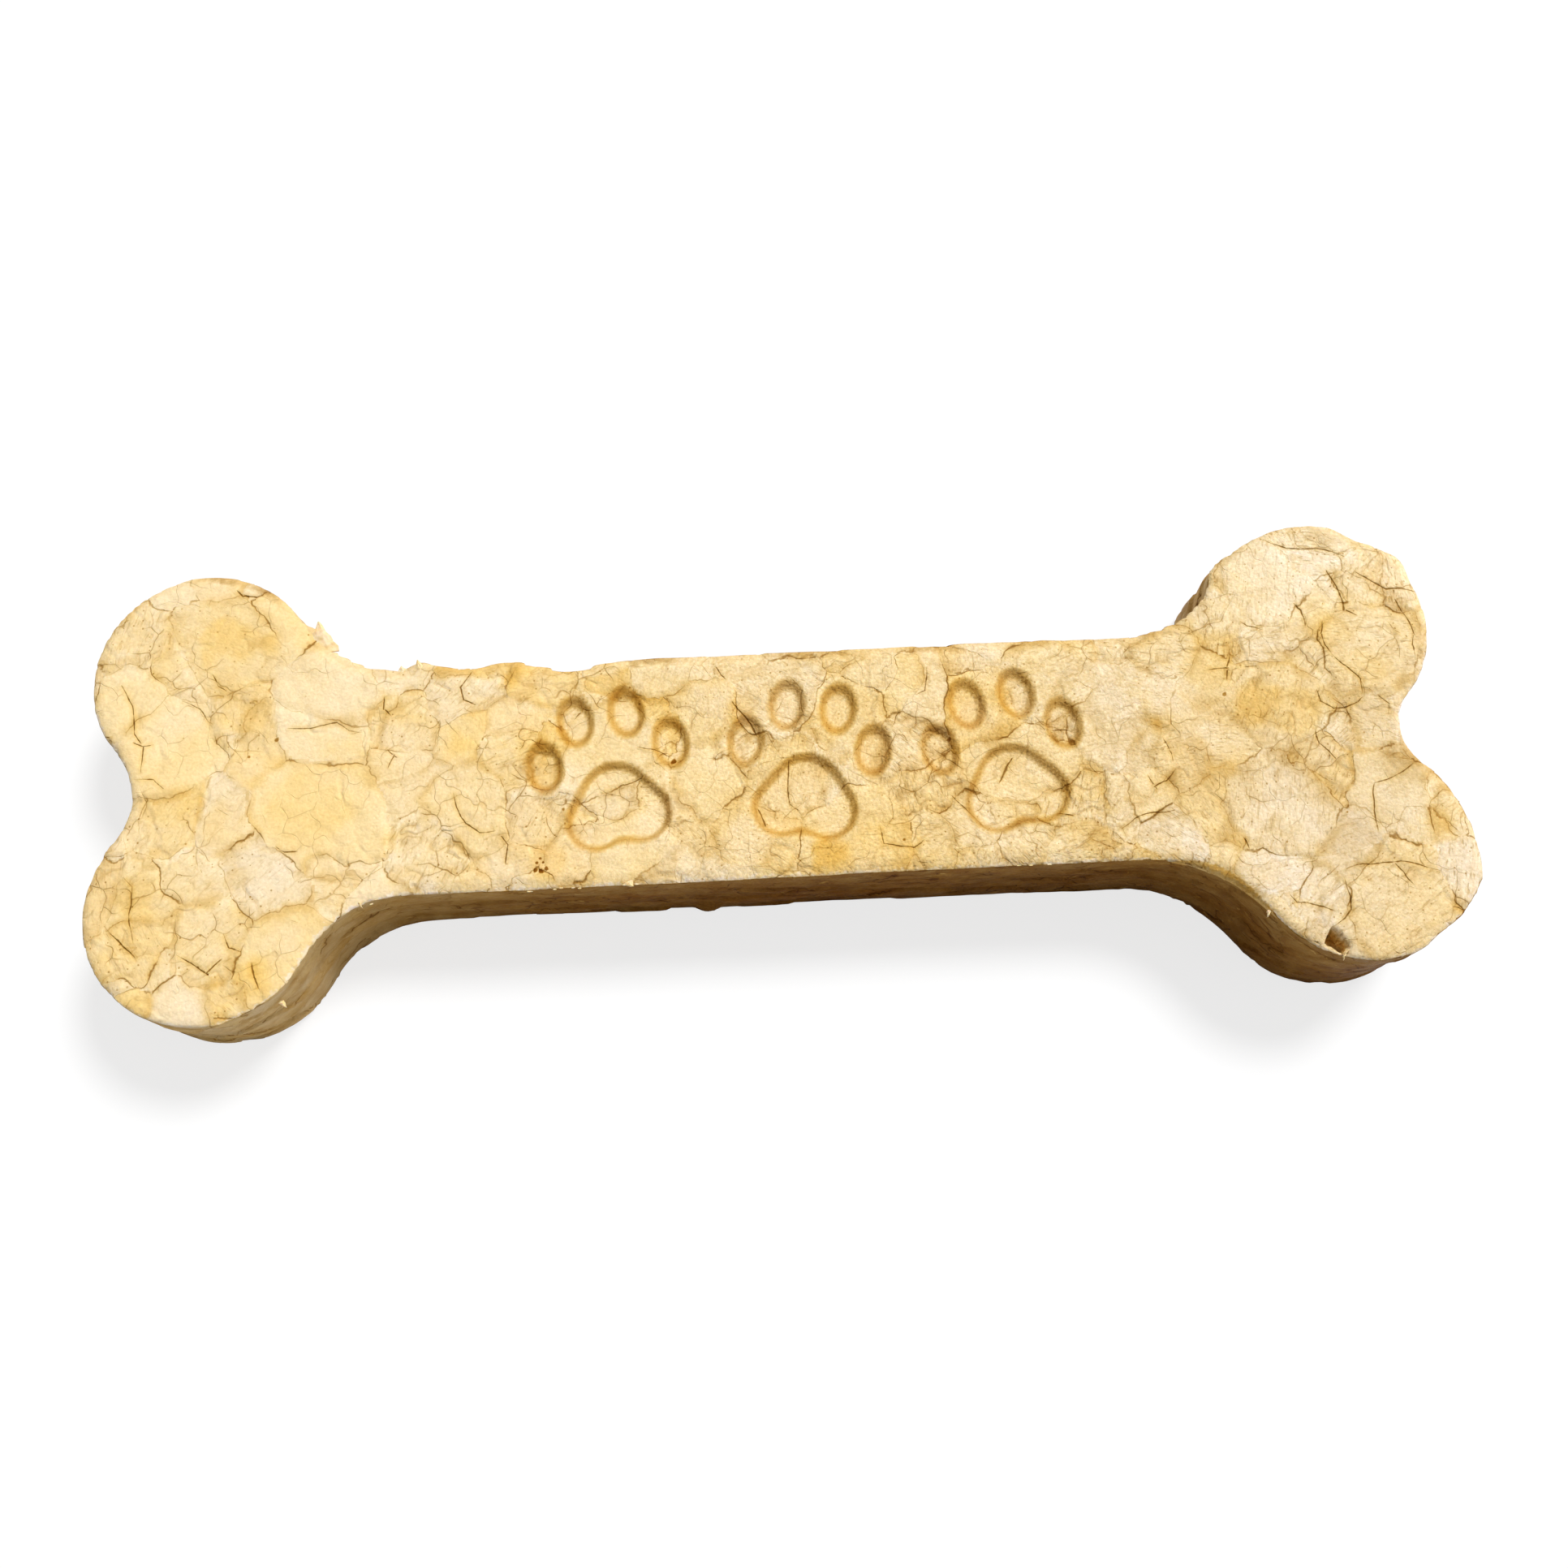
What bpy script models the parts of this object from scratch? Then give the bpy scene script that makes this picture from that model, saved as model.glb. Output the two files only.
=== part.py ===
"""A bone-shaped dog chew, pressed from flakes of dried collagen: one solid piece.

For Blender 4.5, in metres, +Z up. The chew lies flat with its length along X. Its under face is at
z = 0, and the middle of its bounding box stands over the origin. It is built in four steps: the flat
outline of the bone is drawn from tangent arcs and extruded, the blank is remeshed evenly, the pressed
flakes are raised and sunk on all its faces, and the result is thinned to a light mesh.
"""
import math
from collections import namedtuple

import bmesh
import bpy
import numpy as np

MM = 0.001

# Driving dimensions of the bone
SHAFT_HALF_WIDTH = 17.0 * MM
THICKNESS = 20.8 * MM
THICKNESS_RISE = 0.015
NOTCH_RADIUS_RIGHT = 7.6 * MM
NOTCH_RADIUS_LEFT = 10.7 * MM

# The four lobes: which end and side, centre of the lobe's circle, its radius, and the radius of the
# hollow fillet that joins it to the shaft
Lobe = namedtuple("Lobe", "end side x y radius fillet")
BACK_RIGHT = Lobe(1, 1, 82.4 * MM, 17.5 * MM, 16.7 * MM, 15.0 * MM)
BACK_LEFT = Lobe(-1, 1, 84.3 * MM, 17.3 * MM, 16.4 * MM, 18.5 * MM)
FRONT_LEFT = Lobe(-1, -1, 83.0 * MM, 17.8 * MM, 16.7 * MM, 15.8 * MM)
FRONT_RIGHT = Lobe(1, -1, 84.0 * MM, 17.0 * MM, 16.4 * MM, 21.8 * MM)

# Places where the pressed outline swells (+) or falls short (-): x, y, reach, half of its stretch
EdgeMark = namedtuple("EdgeMark", "x y reach half_width")
EDGE_MARKS = (
    EdgeMark(-29.5 * MM, 17.0 * MM, -1.4 * MM, 8.0 * MM),
    EdgeMark(-39.5 * MM, 17.0 * MM, 0.6 * MM, 4.0 * MM),
    EdgeMark(-51.0 * MM, 17.0 * MM, 0.5 * MM, 5.0 * MM),
    EdgeMark(90.5 * MM, 32.0 * MM, -0.7 * MM, 4.0 * MM),
    EdgeMark(96.5 * MM, 27.5 * MM, 1.0 * MM, 4.5 * MM),
    EdgeMark(68.5 * MM, 27.5 * MM, 0.9 * MM, 5.0 * MM),
    EdgeMark(101.0 * MM, -21.5 * MM, 0.8 * MM, 6.0 * MM),
    EdgeMark(94.0 * MM, -30.0 * MM, -0.7 * MM, 5.0 * MM),
)

# Torn flakes and lumps that stand out of the side: x, y, height as a share of the thickness, reach,
# half length along the edge and half height
SideBurr = namedtuple("SideBurr", "x y level reach half_length half_height")
SIDE_BURRS = (
    SideBurr(-68.0 * MM, 25.0 * MM, 0.88, 2.6 * MM, 2.8 * MM, 3.2 * MM),
    SideBurr(-52.0 * MM, 17.2 * MM, 0.90, 1.5 * MM, 3.2 * MM, 3.2 * MM),
    SideBurr(-11.0 * MM, -17.0 * MM, 0.10, 1.1 * MM, 3.0 * MM, 3.0 * MM),
    SideBurr(62.5 * MM, 20.5 * MM, 0.30, 1.5 * MM, 7.0 * MM, 7.0 * MM),
    SideBurr(11.0 * MM, 17.0 * MM, 0.80, 0.7 * MM, 2.0 * MM, 2.0 * MM),
)

# Where a corner of a flake has broken out of the front edge
NICK_X = 78.4 * MM
NICK_Y = -31.4 * MM
NICK_REACH = 3.0 * MM
NICK_DEPTH = 3.4 * MM

# The rolled lip along the inner flank of the front right lobe
LIP_FROM_X = 56.0 * MM
LIP_TO_X = 71.0 * MM
LIP_RADIUS = 1.7 * MM

# Worn rims round the upper and the under face
UPPER_RIM = 0.7 * MM
UNDER_RIM = 0.5 * MM
RIM_VARIATION = 0.35 * MM
RIM_WAVE = 5.0 * MM

# The pressed flakes. FLATNESS is how much wider than thick they lie.
FLAKE_SEED = 41
FLATNESS = 2.6
FLAKE_RADII = (3.1 * MM, 6.0 * MM)
FLAKE_CROWDING = 0.80
FLAKE_TRIES = 9000
BROAD_BEND = 1.9 * MM
BROAD_WAVE = 8.0 * MM
FINE_BEND = 0.8 * MM
FINE_WAVE = 2.8 * MM
FLAKE_STEP = 0.26 * MM
FLAKE_TILT = 0.022
SEAM_DEPTH = 0.34 * MM
SEAM_LEAST = 0.15
SEAM_HALF_WIDTH = 0.55 * MM
UNDER_PRESSED = 0.12 * MM
SIDE_STEP = 0.42 * MM
SIDE_WAVE = 18.0 * MM
SIDE_WAVE_REACH = 0.30 * MM
FACE_WAVE = 26.0 * MM
FACE_WAVE_HEIGHT = 0.16 * MM

# Large flakes that lie in the upper face: x, y, radius and height against their neighbours
BigFlake = namedtuple("BigFlake", "x y radius lift")
BIG_FLAKES = (
    BigFlake(-68.0 * MM, -4.0 * MM, 8.2 * MM, 0.10 * MM),
    BigFlake(-79.0 * MM, 22.5 * MM, 7.0 * MM, 0.08 * MM),
    BigFlake(-88.0 * MM, 6.5 * MM, 6.4 * MM, 0.12 * MM),
    BigFlake(-65.5 * MM, 15.5 * MM, 6.2 * MM, 0.14 * MM),
    BigFlake(-97.0 * MM, 13.0 * MM, 4.4 * MM, 0.04 * MM),
    BigFlake(-74.0 * MM, -13.5 * MM, 5.4 * MM, 0.02 * MM),
    BigFlake(-71.0 * MM, -25.5 * MM, 6.4 * MM, 0.10 * MM),
    BigFlake(-43.0 * MM, -3.5 * MM, 4.8 * MM, 0.06 * MM),
    BigFlake(-25.0 * MM, 3.0 * MM, 6.0 * MM, 0.06 * MM),
    BigFlake(11.0 * MM, -12.0 * MM, 6.6 * MM, 0.08 * MM),
    BigFlake(75.0 * MM, 5.0 * MM, 6.8 * MM, 0.06 * MM),
    BigFlake(74.5 * MM, -11.0 * MM, 7.0 * MM, 0.12 * MM),
    BigFlake(89.5 * MM, 14.0 * MM, 7.2 * MM, 0.12 * MM),
    BigFlake(88.0 * MM, -25.5 * MM, 7.6 * MM, 0.14 * MM),
    BigFlake(98.5 * MM, -22.0 * MM, 4.8 * MM, 0.06 * MM),
    BigFlake(75.0 * MM, 25.0 * MM, 6.2 * MM, 0.04 * MM),
)

# A row of plain paw prints sunk in the shaft, where a press mould marks such a chew
PAW_STATIONS = (-24.0 * MM, 5.0 * MM, 34.0 * MM)
PAW_TURNS = (math.radians(9.0), math.radians(-7.0), math.radians(10.0))
PAW_DEPTH = 1.0 * MM
PAW_WALL = 0.9 * MM
TOE_SPREAD = 9.4 * MM
TOE_INNER_SPREAD = 3.8 * MM
TOE_HEIGHT = 2.4 * MM
TOE_INNER_HEIGHT = 8.4 * MM
TOE_RADII = (2.3 * MM, 3.4 * MM)
PAD_HEIGHT = -5.8 * MM
PAD_SPREAD = 3.3 * MM
PAD_SIDE_RADIUS = 4.0 * MM
PAD_TOP_RADIUS = 4.9 * MM
PAD_BLEND = 2.2 * MM

# Mesh resolution
ARC_STEP = 0.9 * MM
BLANK_VOXEL = 0.8 * MM
FINAL_TRIANGLES = 11200
FLAT_TOLERANCE = 0.05 * MM

# How many points are worked on at once, and how far from them flakes are looked for
BLOCK = 6000
FLAKE_SEARCH = 24.0 * MM

COLLAGEN_COLOUR = (0.86, 0.63, 0.29, 1.0)
COLLAGEN_ROUGHNESS = 0.55


def clear_scene():
    for thing in list(bpy.data.objects):
        bpy.data.objects.remove(thing, do_unlink=True)


def arc(centre, radius, start, turn):
    """Points along an arc, from the angle start through the angle turn."""
    count = max(3, int(abs(turn) * radius / ARC_STEP) + 1)
    angles = start + turn * np.linspace(0.0, 1.0, count)
    return np.stack((centre[0] + radius * np.cos(angles), centre[1] + radius * np.sin(angles)), axis=1)


def angle_of(start, end):
    return math.atan2(end[1] - start[1], end[0] - start[0])


def short_turn(angle):
    return (angle + math.pi) % (2.0 * math.pi) - math.pi


def notch_centre(lobe_a, lobe_b, radius):
    """Centre of the circle outside an end that touches both its lobes."""
    ax, ay = lobe_a.end * lobe_a.x, lobe_a.side * lobe_a.y
    bx, by = lobe_b.end * lobe_b.x, lobe_b.side * lobe_b.y
    reach_a = lobe_a.radius + radius
    reach_b = lobe_b.radius + radius
    span = math.hypot(bx - ax, by - ay)
    along = (reach_a ** 2 - reach_b ** 2 + span ** 2) / (2.0 * span)
    across = math.sqrt(reach_a ** 2 - along ** 2)
    ux, uy = (bx - ax) / span, (by - ay) / span
    side = 1.0 if lobe_a.end * uy > 0.0 else -1.0
    return (ax + along * ux + side * across * uy, ay + along * uy - side * across * ux)


def quarter_outline(lobe, notch, notch_radius):
    """A quarter of the outline, from the middle of the shaft's side to the notch in the end."""
    fillet_y = SHAFT_HALF_WIDTH + lobe.fillet
    fillet_x = lobe.x - math.sqrt((lobe.radius + lobe.fillet) ** 2 - (fillet_y - lobe.y) ** 2)
    fillet = (lobe.end * fillet_x, lobe.side * fillet_y)
    centre = (lobe.end * lobe.x, lobe.side * lobe.y)
    along = np.arange(0.0, fillet_x, ARC_STEP)
    side = np.stack((lobe.end * along, np.full_like(along, lobe.side * SHAFT_HALF_WIDTH)), axis=1)
    start = -lobe.side * math.pi / 2.0
    inward = arc(fillet, lobe.fillet, start, short_turn(angle_of(fillet, centre) - start))
    start = angle_of(centre, fillet)
    turn = (angle_of(centre, notch) - start) % (2.0 * math.pi)
    if lobe.end * lobe.side > 0:
        turn -= 2.0 * math.pi
    knob = arc(centre, lobe.radius, start, turn)
    start = angle_of(notch, centre)
    middle = math.pi if lobe.end > 0 else 0.0
    hollow = arc(notch, notch_radius, start, short_turn(middle - start))
    return np.concatenate((side, inward[1:], knob[1:], hollow[1:]))


def plain_outline():
    """The closed outline, once round, as the mould has it."""
    right = notch_centre(BACK_RIGHT, FRONT_RIGHT, NOTCH_RADIUS_RIGHT)
    left = notch_centre(BACK_LEFT, FRONT_LEFT, NOTCH_RADIUS_LEFT)
    back_right = quarter_outline(BACK_RIGHT, right, NOTCH_RADIUS_RIGHT)
    front_right = quarter_outline(FRONT_RIGHT, right, NOTCH_RADIUS_RIGHT)
    front_left = quarter_outline(FRONT_LEFT, left, NOTCH_RADIUS_LEFT)
    back_left = quarter_outline(BACK_LEFT, left, NOTCH_RADIUS_LEFT)
    return np.concatenate((back_right[:-1], front_right[:0:-1], front_left[:-1], back_left[:0:-1]))


def outward_normals(outline):
    """Unit normals of a clockwise outline."""
    run = np.roll(outline, -1, axis=0) - np.roll(outline, 1, axis=0)
    run /= np.linalg.norm(run, axis=1, keepdims=True)
    return np.stack((-run[:, 1], run[:, 0]), axis=1)


def bump(distance, half_width):
    """A smooth hill that is 1 at no distance and 0 from half_width on."""
    share = np.clip(distance / half_width, 0.0, 1.0)
    return 0.5 + 0.5 * np.cos(math.pi * share)


def pressed_outline():
    """The outline with the places where the pressed flakes swell or fall short."""
    outline = plain_outline()
    reach = np.zeros(len(outline))
    for mark in EDGE_MARKS:
        distance = np.hypot(outline[:, 0] - mark.x, outline[:, 1] - mark.y)
        reach += mark.reach * bump(distance, mark.half_width)
    return outline + outward_normals(outline) * reach[:, None]


def smooth_noise(points, wave, seed):
    """Even noise between -1 and 1 whose hills are about one wave across."""
    rng = np.random.default_rng(seed)
    size = 32
    lattice = rng.uniform(-1.0, 1.0, (size, size, size))
    place = points / wave + 7.3
    cell = np.floor(place).astype(int)
    share = place - cell
    share = share * share * (3.0 - 2.0 * share)
    total = np.zeros(len(points))
    for corner in range(8):
        step = np.array((corner & 1, corner >> 1 & 1, corner >> 2 & 1))
        weight = np.prod(np.where(step == 1, share, 1.0 - share), axis=1)
        x, y, z = ((cell + step) % size).T
        total += weight * lattice[x, y, z]
    return total


def flake_space(points):
    """Stretch the height and bend the space, so that flakes lie flat and have crooked edges."""
    stretched = points * np.array((1.0, 1.0, FLATNESS))
    bent = stretched.copy()
    for axis in range(3):
        bent[:, axis] += BROAD_BEND * smooth_noise(stretched, BROAD_WAVE, 11 + axis)
        bent[:, axis] += FINE_BEND * smooth_noise(stretched, FINE_WAVE, 21 + axis)
    return bent


def scatter_flakes():
    """Centres, radii and lifts of the flakes in flake space: the large ones, then random ones."""
    rng = np.random.default_rng(FLAKE_SEED)
    chosen = [(f.x, f.y, THICKNESS + THICKNESS_RISE * f.x) for f in BIG_FLAKES]
    centres = list(flake_space(np.array(chosen)))
    radii = [f.radius for f in BIG_FLAKES]
    lifts = [f.lift for f in BIG_FLAKES]
    low = np.array((-104.0 * MM, -37.0 * MM, -4.0 * MM * FLATNESS))
    high = np.array((104.0 * MM, 37.0 * MM, 26.0 * MM * FLATNESS))
    for _ in range(FLAKE_TRIES):
        centre = rng.uniform(low, high)
        radius = rng.uniform(*FLAKE_RADII)
        gaps = np.linalg.norm(np.array(centres) - centre, axis=1)
        if np.all(gaps > FLAKE_CROWDING * (np.array(radii) + radius)):
            centres.append(centre)
            radii.append(radius)
            lifts.append(rng.uniform(-1.0, 0.45) * FLAKE_STEP)
    return np.array(centres), np.array(radii), np.array(lifts)


def nearest_two(points, centres, radii):
    """For each point the flake it lies in, the next one, and the distance to the seam between them."""
    first = np.zeros(len(points), int)
    second = np.zeros(len(points), int)
    seam = np.zeros(len(points))
    order = points[:, 0].argsort()
    for start in range(0, len(points), BLOCK):
        rows = order[start:start + BLOCK]
        block = points[rows]
        near = np.flatnonzero((centres[:, 0] > block[0, 0] - FLAKE_SEARCH)
                              & (centres[:, 0] < block[-1, 0] + FLAKE_SEARCH))
        sites = centres[near]
        power = (sites ** 2).sum(axis=1) - radii[near] ** 2 - 2.0 * block @ sites.T
        pair = np.argpartition(power, 1, axis=1)[:, :2]
        values = np.take_along_axis(power, pair, axis=1)
        swap = values[:, 0] > values[:, 1]
        pair[swap] = pair[swap][:, ::-1]
        apart = np.linalg.norm(sites[pair[:, 0]] - sites[pair[:, 1]], axis=1)
        first[rows] = near[pair[:, 0]]
        second[rows] = near[pair[:, 1]]
        seam[rows] = np.abs(values[:, 1] - values[:, 0]) / (2.0 * apart)
    return first, second, seam


def distance_to_outline(points, outline):
    """Distance in plan from each point to the outline, and the outward normal at the nearest place."""
    normals = outward_normals(outline)
    after = np.roll(outline, -1, axis=0)
    run = after - outline
    length = (run ** 2).sum(axis=1)
    distance = np.zeros(len(points))
    normal = np.zeros((len(points), 2))
    for start in range(0, len(points), BLOCK):
        part = slice(start, start + BLOCK)
        offset = points[part, None, :2] - outline[None, :, :]
        share = np.clip((offset * run).sum(axis=2) / length, 0.0, 1.0)
        gap = np.linalg.norm(offset - share[:, :, None] * run, axis=2)
        nearest = gap.argmin(axis=1)
        distance[part] = gap[np.arange(len(gap)), nearest]
        normal[part] = normals[nearest]
    return distance, normal


def ellipse_distance(x, y, centre, radii):
    share = np.hypot((x - centre[0]) / radii[0], (y - centre[1]) / radii[1])
    return (share - 1.0) * min(radii)


def smooth_least(a, b, blend):
    """The lesser of two distances, with the corner between them rounded."""
    share = np.clip(0.5 + 0.5 * (b - a) / blend, 0.0, 1.0)
    return b + (a - b) * share - blend * share * (1.0 - share)


def paw_distance(x, y):
    """Distance to the outline of a paw print with its toes towards +Y, negative inside a pad."""
    pad = ellipse_distance(x, y, (0.0, PAD_HEIGHT + 1.6 * MM), (PAD_TOP_RADIUS, PAD_TOP_RADIUS))
    for side in (-1.0, 1.0):
        heel = ellipse_distance(x, y, (side * PAD_SPREAD, PAD_HEIGHT - 1.4 * MM),
                                (PAD_SIDE_RADIUS, PAD_SIDE_RADIUS))
        pad = smooth_least(pad, heel, PAD_BLEND)
    for side in (-1.0, 1.0):
        outer = ellipse_distance(x, y, (side * TOE_SPREAD, TOE_HEIGHT), TOE_RADII)
        inner = ellipse_distance(x, y, (side * TOE_INNER_SPREAD, TOE_INNER_HEIGHT), TOE_RADII)
        pad = np.minimum(pad, np.minimum(outer, inner))
    return pad


def paw_sink(points):
    """How deep the paw prints are sunk at each point."""
    sink = np.zeros(len(points))
    for station, turn in zip(PAW_STATIONS, PAW_TURNS):
        x = (points[:, 0] - station) * math.cos(turn) + points[:, 1] * math.sin(turn)
        y = points[:, 1] * math.cos(turn) - (points[:, 0] - station) * math.sin(turn)
        share = np.clip(0.5 - paw_distance(x, y) / PAW_WALL, 0.0, 1.0)
        sink = np.maximum(sink, PAW_DEPTH * share * share * (3.0 - 2.0 * share))
    return sink


def rim_drop(distance, radius):
    """How far a rounded rim falls below the face at a distance from the edge."""
    inside = np.clip(radius - distance, 0.0, None)
    return radius - np.sqrt(np.clip(radius ** 2 - inside ** 2, 0.0, None))


def upper_rim_radius(points):
    """The radius of the upper rim, larger along the rolled lip of the front right lobe."""
    radius = UPPER_RIM + RIM_VARIATION * smooth_noise(points, RIM_WAVE, 5)
    middle = 0.5 * (LIP_FROM_X + LIP_TO_X)
    lip = bump(np.abs(points[:, 0] - middle), 0.62 * (LIP_TO_X - LIP_FROM_X)) * (points[:, 1] < 0.0)
    return radius + lip * (LIP_RADIUS - UPPER_RIM)


def nick_depth(points, thickness):
    """How deep the broken corner in the front edge goes, a wedge that narrows away from the edge."""
    inward = points[:, 1] - NICK_Y
    half = 0.55 * (NICK_REACH - inward)
    across = 1.0 - np.abs(points[:, 0] - NICK_X) / np.maximum(half, 0.2 * MM)
    depth = NICK_DEPTH * np.clip(3.0 * across, 0.0, 1.0) * (inward < NICK_REACH)
    return depth * np.clip((points[:, 2] - 0.5 * thickness) / (0.5 * thickness), 0.0, 1.0)


def press_flakes(points, facing, outline):
    """Move the points of the blank to the pressed surface.

    facing is the blank's normals: +Z on the upper face, -Z on the under face, level on the side.
    """
    thickness = THICKNESS + THICKNESS_RISE * points[:, 0]
    shaped = points.copy()
    shaped[:, 2] *= thickness / THICKNESS
    centres, radii, lifts = scatter_flakes()
    first, second, seam = nearest_two(flake_space(shaped), centres, radii)
    rng = np.random.default_rng(FLAKE_SEED + 1)
    tilts = rng.normal(0.0, FLAKE_TILT, (len(centres), 2))
    tilt = ((shaped[:, :2] - centres[first, :2]) * tilts[first]).sum(axis=1)
    openness = rng.random((len(centres), len(centres))) ** 2
    openness = openness[np.minimum(first, second), np.maximum(first, second)]
    groove = SEAM_DEPTH * (SEAM_LEAST + openness) * bump(seam, SEAM_HALF_WIDTH)
    distance, outward = distance_to_outline(shaped, outline)
    up = np.clip(2.0 * facing[:, 2], 0.0, 1.0)
    down = np.clip(-2.0 * facing[:, 2], 0.0, 1.0)
    side = 1.0 - np.clip(2.0 * np.abs(facing[:, 2]) - 1.0, 0.0, 1.0)

    level = lifts[first] + tilt - groove
    level += FACE_WAVE_HEIGHT * smooth_noise(shaped, FACE_WAVE, 3)
    upper = level - paw_sink(shaped) - nick_depth(shaped, thickness)
    under = np.clip(-lifts[first] - tilt - UNDER_PRESSED, 0.0, None) + groove
    radius = upper_rim_radius(shaped)
    near_top = np.clip((shaped[:, 2] - thickness + 3.0 * radius) / (3.0 * radius), 0.0, 1.0)
    near_base = np.clip(1.0 - shaped[:, 2] / (3.0 * UNDER_RIM), 0.0, 1.0)
    rise = up * upper + down * under
    rise += near_base * rim_drop(distance, UNDER_RIM) - near_top * rim_drop(distance, radius)

    reach = SIDE_WAVE_REACH * smooth_noise(shaped, SIDE_WAVE, 4) - groove
    reach += (lifts[first] / FLAKE_STEP + 0.3) * SIDE_STEP
    for burr in SIDE_BURRS:
        along = np.hypot(shaped[:, 0] - burr.x, shaped[:, 1] - burr.y)
        above = np.abs(shaped[:, 2] - burr.level * thickness)
        reach += burr.reach * bump(along, burr.half_length) * bump(above, burr.half_height)
    reach *= side * np.clip(1.0 - distance / (1.5 * MM), 0.0, 1.0)
    shaped[:, :2] += outward * reach[:, None]
    shaped[:, 2] += rise
    return shaped


def collagen_material():
    material = bpy.data.materials.new("collagen")
    material.use_nodes = True
    shader = material.node_tree.nodes["Principled BSDF"]
    shader.inputs["Base Color"].default_value = COLLAGEN_COLOUR
    shader.inputs["Roughness"].default_value = COLLAGEN_ROUGHNESS
    shader.inputs["Metallic"].default_value = 0.0
    return material


def extruded_outline(outline):
    """A flat curve along the outline, filled and extruded to the thickness, standing on z = 0."""
    curve = bpy.data.curves.new("outline", "CURVE")
    curve.dimensions = "2D"
    curve.fill_mode = "BOTH"
    curve.extrude = THICKNESS / 2.0
    spline = curve.splines.new("POLY")
    spline.points.add(len(outline) - 1)
    for point, (x, y) in zip(spline.points, outline):
        point.co = (x, y, 0.0, 1.0)
    spline.use_cyclic_u = True
    holder = bpy.data.objects.new("outline", curve)
    holder.location.z = THICKNESS / 2.0
    return holder


def mesh_from(thing, collection):
    """The evaluated mesh of an object, in world space; the object is then removed."""
    collection.objects.link(thing)
    bpy.context.view_layer.update()
    evaluated = thing.evaluated_get(bpy.context.evaluated_depsgraph_get())
    mesh = bpy.data.meshes.new_from_object(evaluated)
    mesh.transform(thing.matrix_world)
    bpy.data.objects.remove(thing, do_unlink=True)
    return mesh


def remeshed_blank(outline, collection):
    """The plain bone as one even mesh."""
    mesh = mesh_from(extruded_outline(outline), collection)
    work = bmesh.new()
    work.from_mesh(mesh)
    bmesh.ops.remove_doubles(work, verts=work.verts, dist=0.01 * MM)
    work.to_mesh(mesh)
    work.free()
    blank = bpy.data.objects.new("blank", mesh)
    remesh = blank.modifiers.new("even", "REMESH")
    remesh.mode = "VOXEL"
    remesh.voxel_size = BLANK_VOXEL
    return mesh_from(blank, collection)


def read_points(mesh):
    points = np.empty(len(mesh.vertices) * 3, np.float32)
    mesh.vertices.foreach_get("co", points)
    return points.reshape(-1, 3).astype(float)


def read_normals(mesh):
    normals = np.empty(len(mesh.vertices) * 3, np.float32)
    mesh.vertex_normals.foreach_get("vector", normals)
    return normals.reshape(-1, 3).astype(float)


def write_points(mesh, points):
    mesh.vertices.foreach_set("co", points.astype(np.float32).ravel())
    mesh.update()


def thinned(mesh, collection):
    """The same surface with few triangles, most of them where the relief is."""
    heavy = bpy.data.objects.new("heavy", mesh)
    thin = heavy.modifiers.new("thin", "DECIMATE")
    thin.decimate_type = "COLLAPSE"
    mesh.calc_loop_triangles()
    thin.ratio = FINAL_TRIANGLES / len(mesh.loop_triangles)
    thin.use_collapse_triangulate = True
    return mesh_from(heavy, collection)


def seated(points):
    """Flatten what lies on the ground and put the middle of the bounding box over the origin."""
    placed = points.copy()
    placed[placed[:, 2] < FLAT_TOLERANCE, 2] = 0.0
    middle = 0.5 * (placed[:, :2].min(axis=0) + placed[:, :2].max(axis=0))
    placed[:, :2] -= middle
    return placed


def build_chew(collection):
    outline = pressed_outline()
    mesh = remeshed_blank(outline, collection)
    write_points(mesh, press_flakes(read_points(mesh), read_normals(mesh), outline))
    mesh = thinned(mesh, collection)
    write_points(mesh, seated(read_points(mesh)))
    mesh.name = "chew"
    mesh.materials.clear()
    mesh.materials.append(collagen_material())
    chew = bpy.data.objects.new("chew", mesh)
    collection.objects.link(chew)
    return chew


def main():
    clear_scene()
    collection = bpy.data.collections.new("collagen_dog_chew")
    bpy.context.scene.collection.children.link(collection)
    build_chew(collection)


main()
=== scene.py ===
"""The looks of a bone-shaped dog chew that is pressed from flakes of dried collagen.

The chew is one piece. Its outline, its pressed flakes and the paw prints sunk in its shaft follow the
rules of the solid, with finer relief, and its material works out how deep the light goes into each flake.
The flakes live in a flake space: the height is stretched, because flakes lie flat, and the space is bent,
because their edges are crooked. All lengths are in metres, except in the material, which works in
millimetres.
"""
import math
from collections import namedtuple

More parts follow.
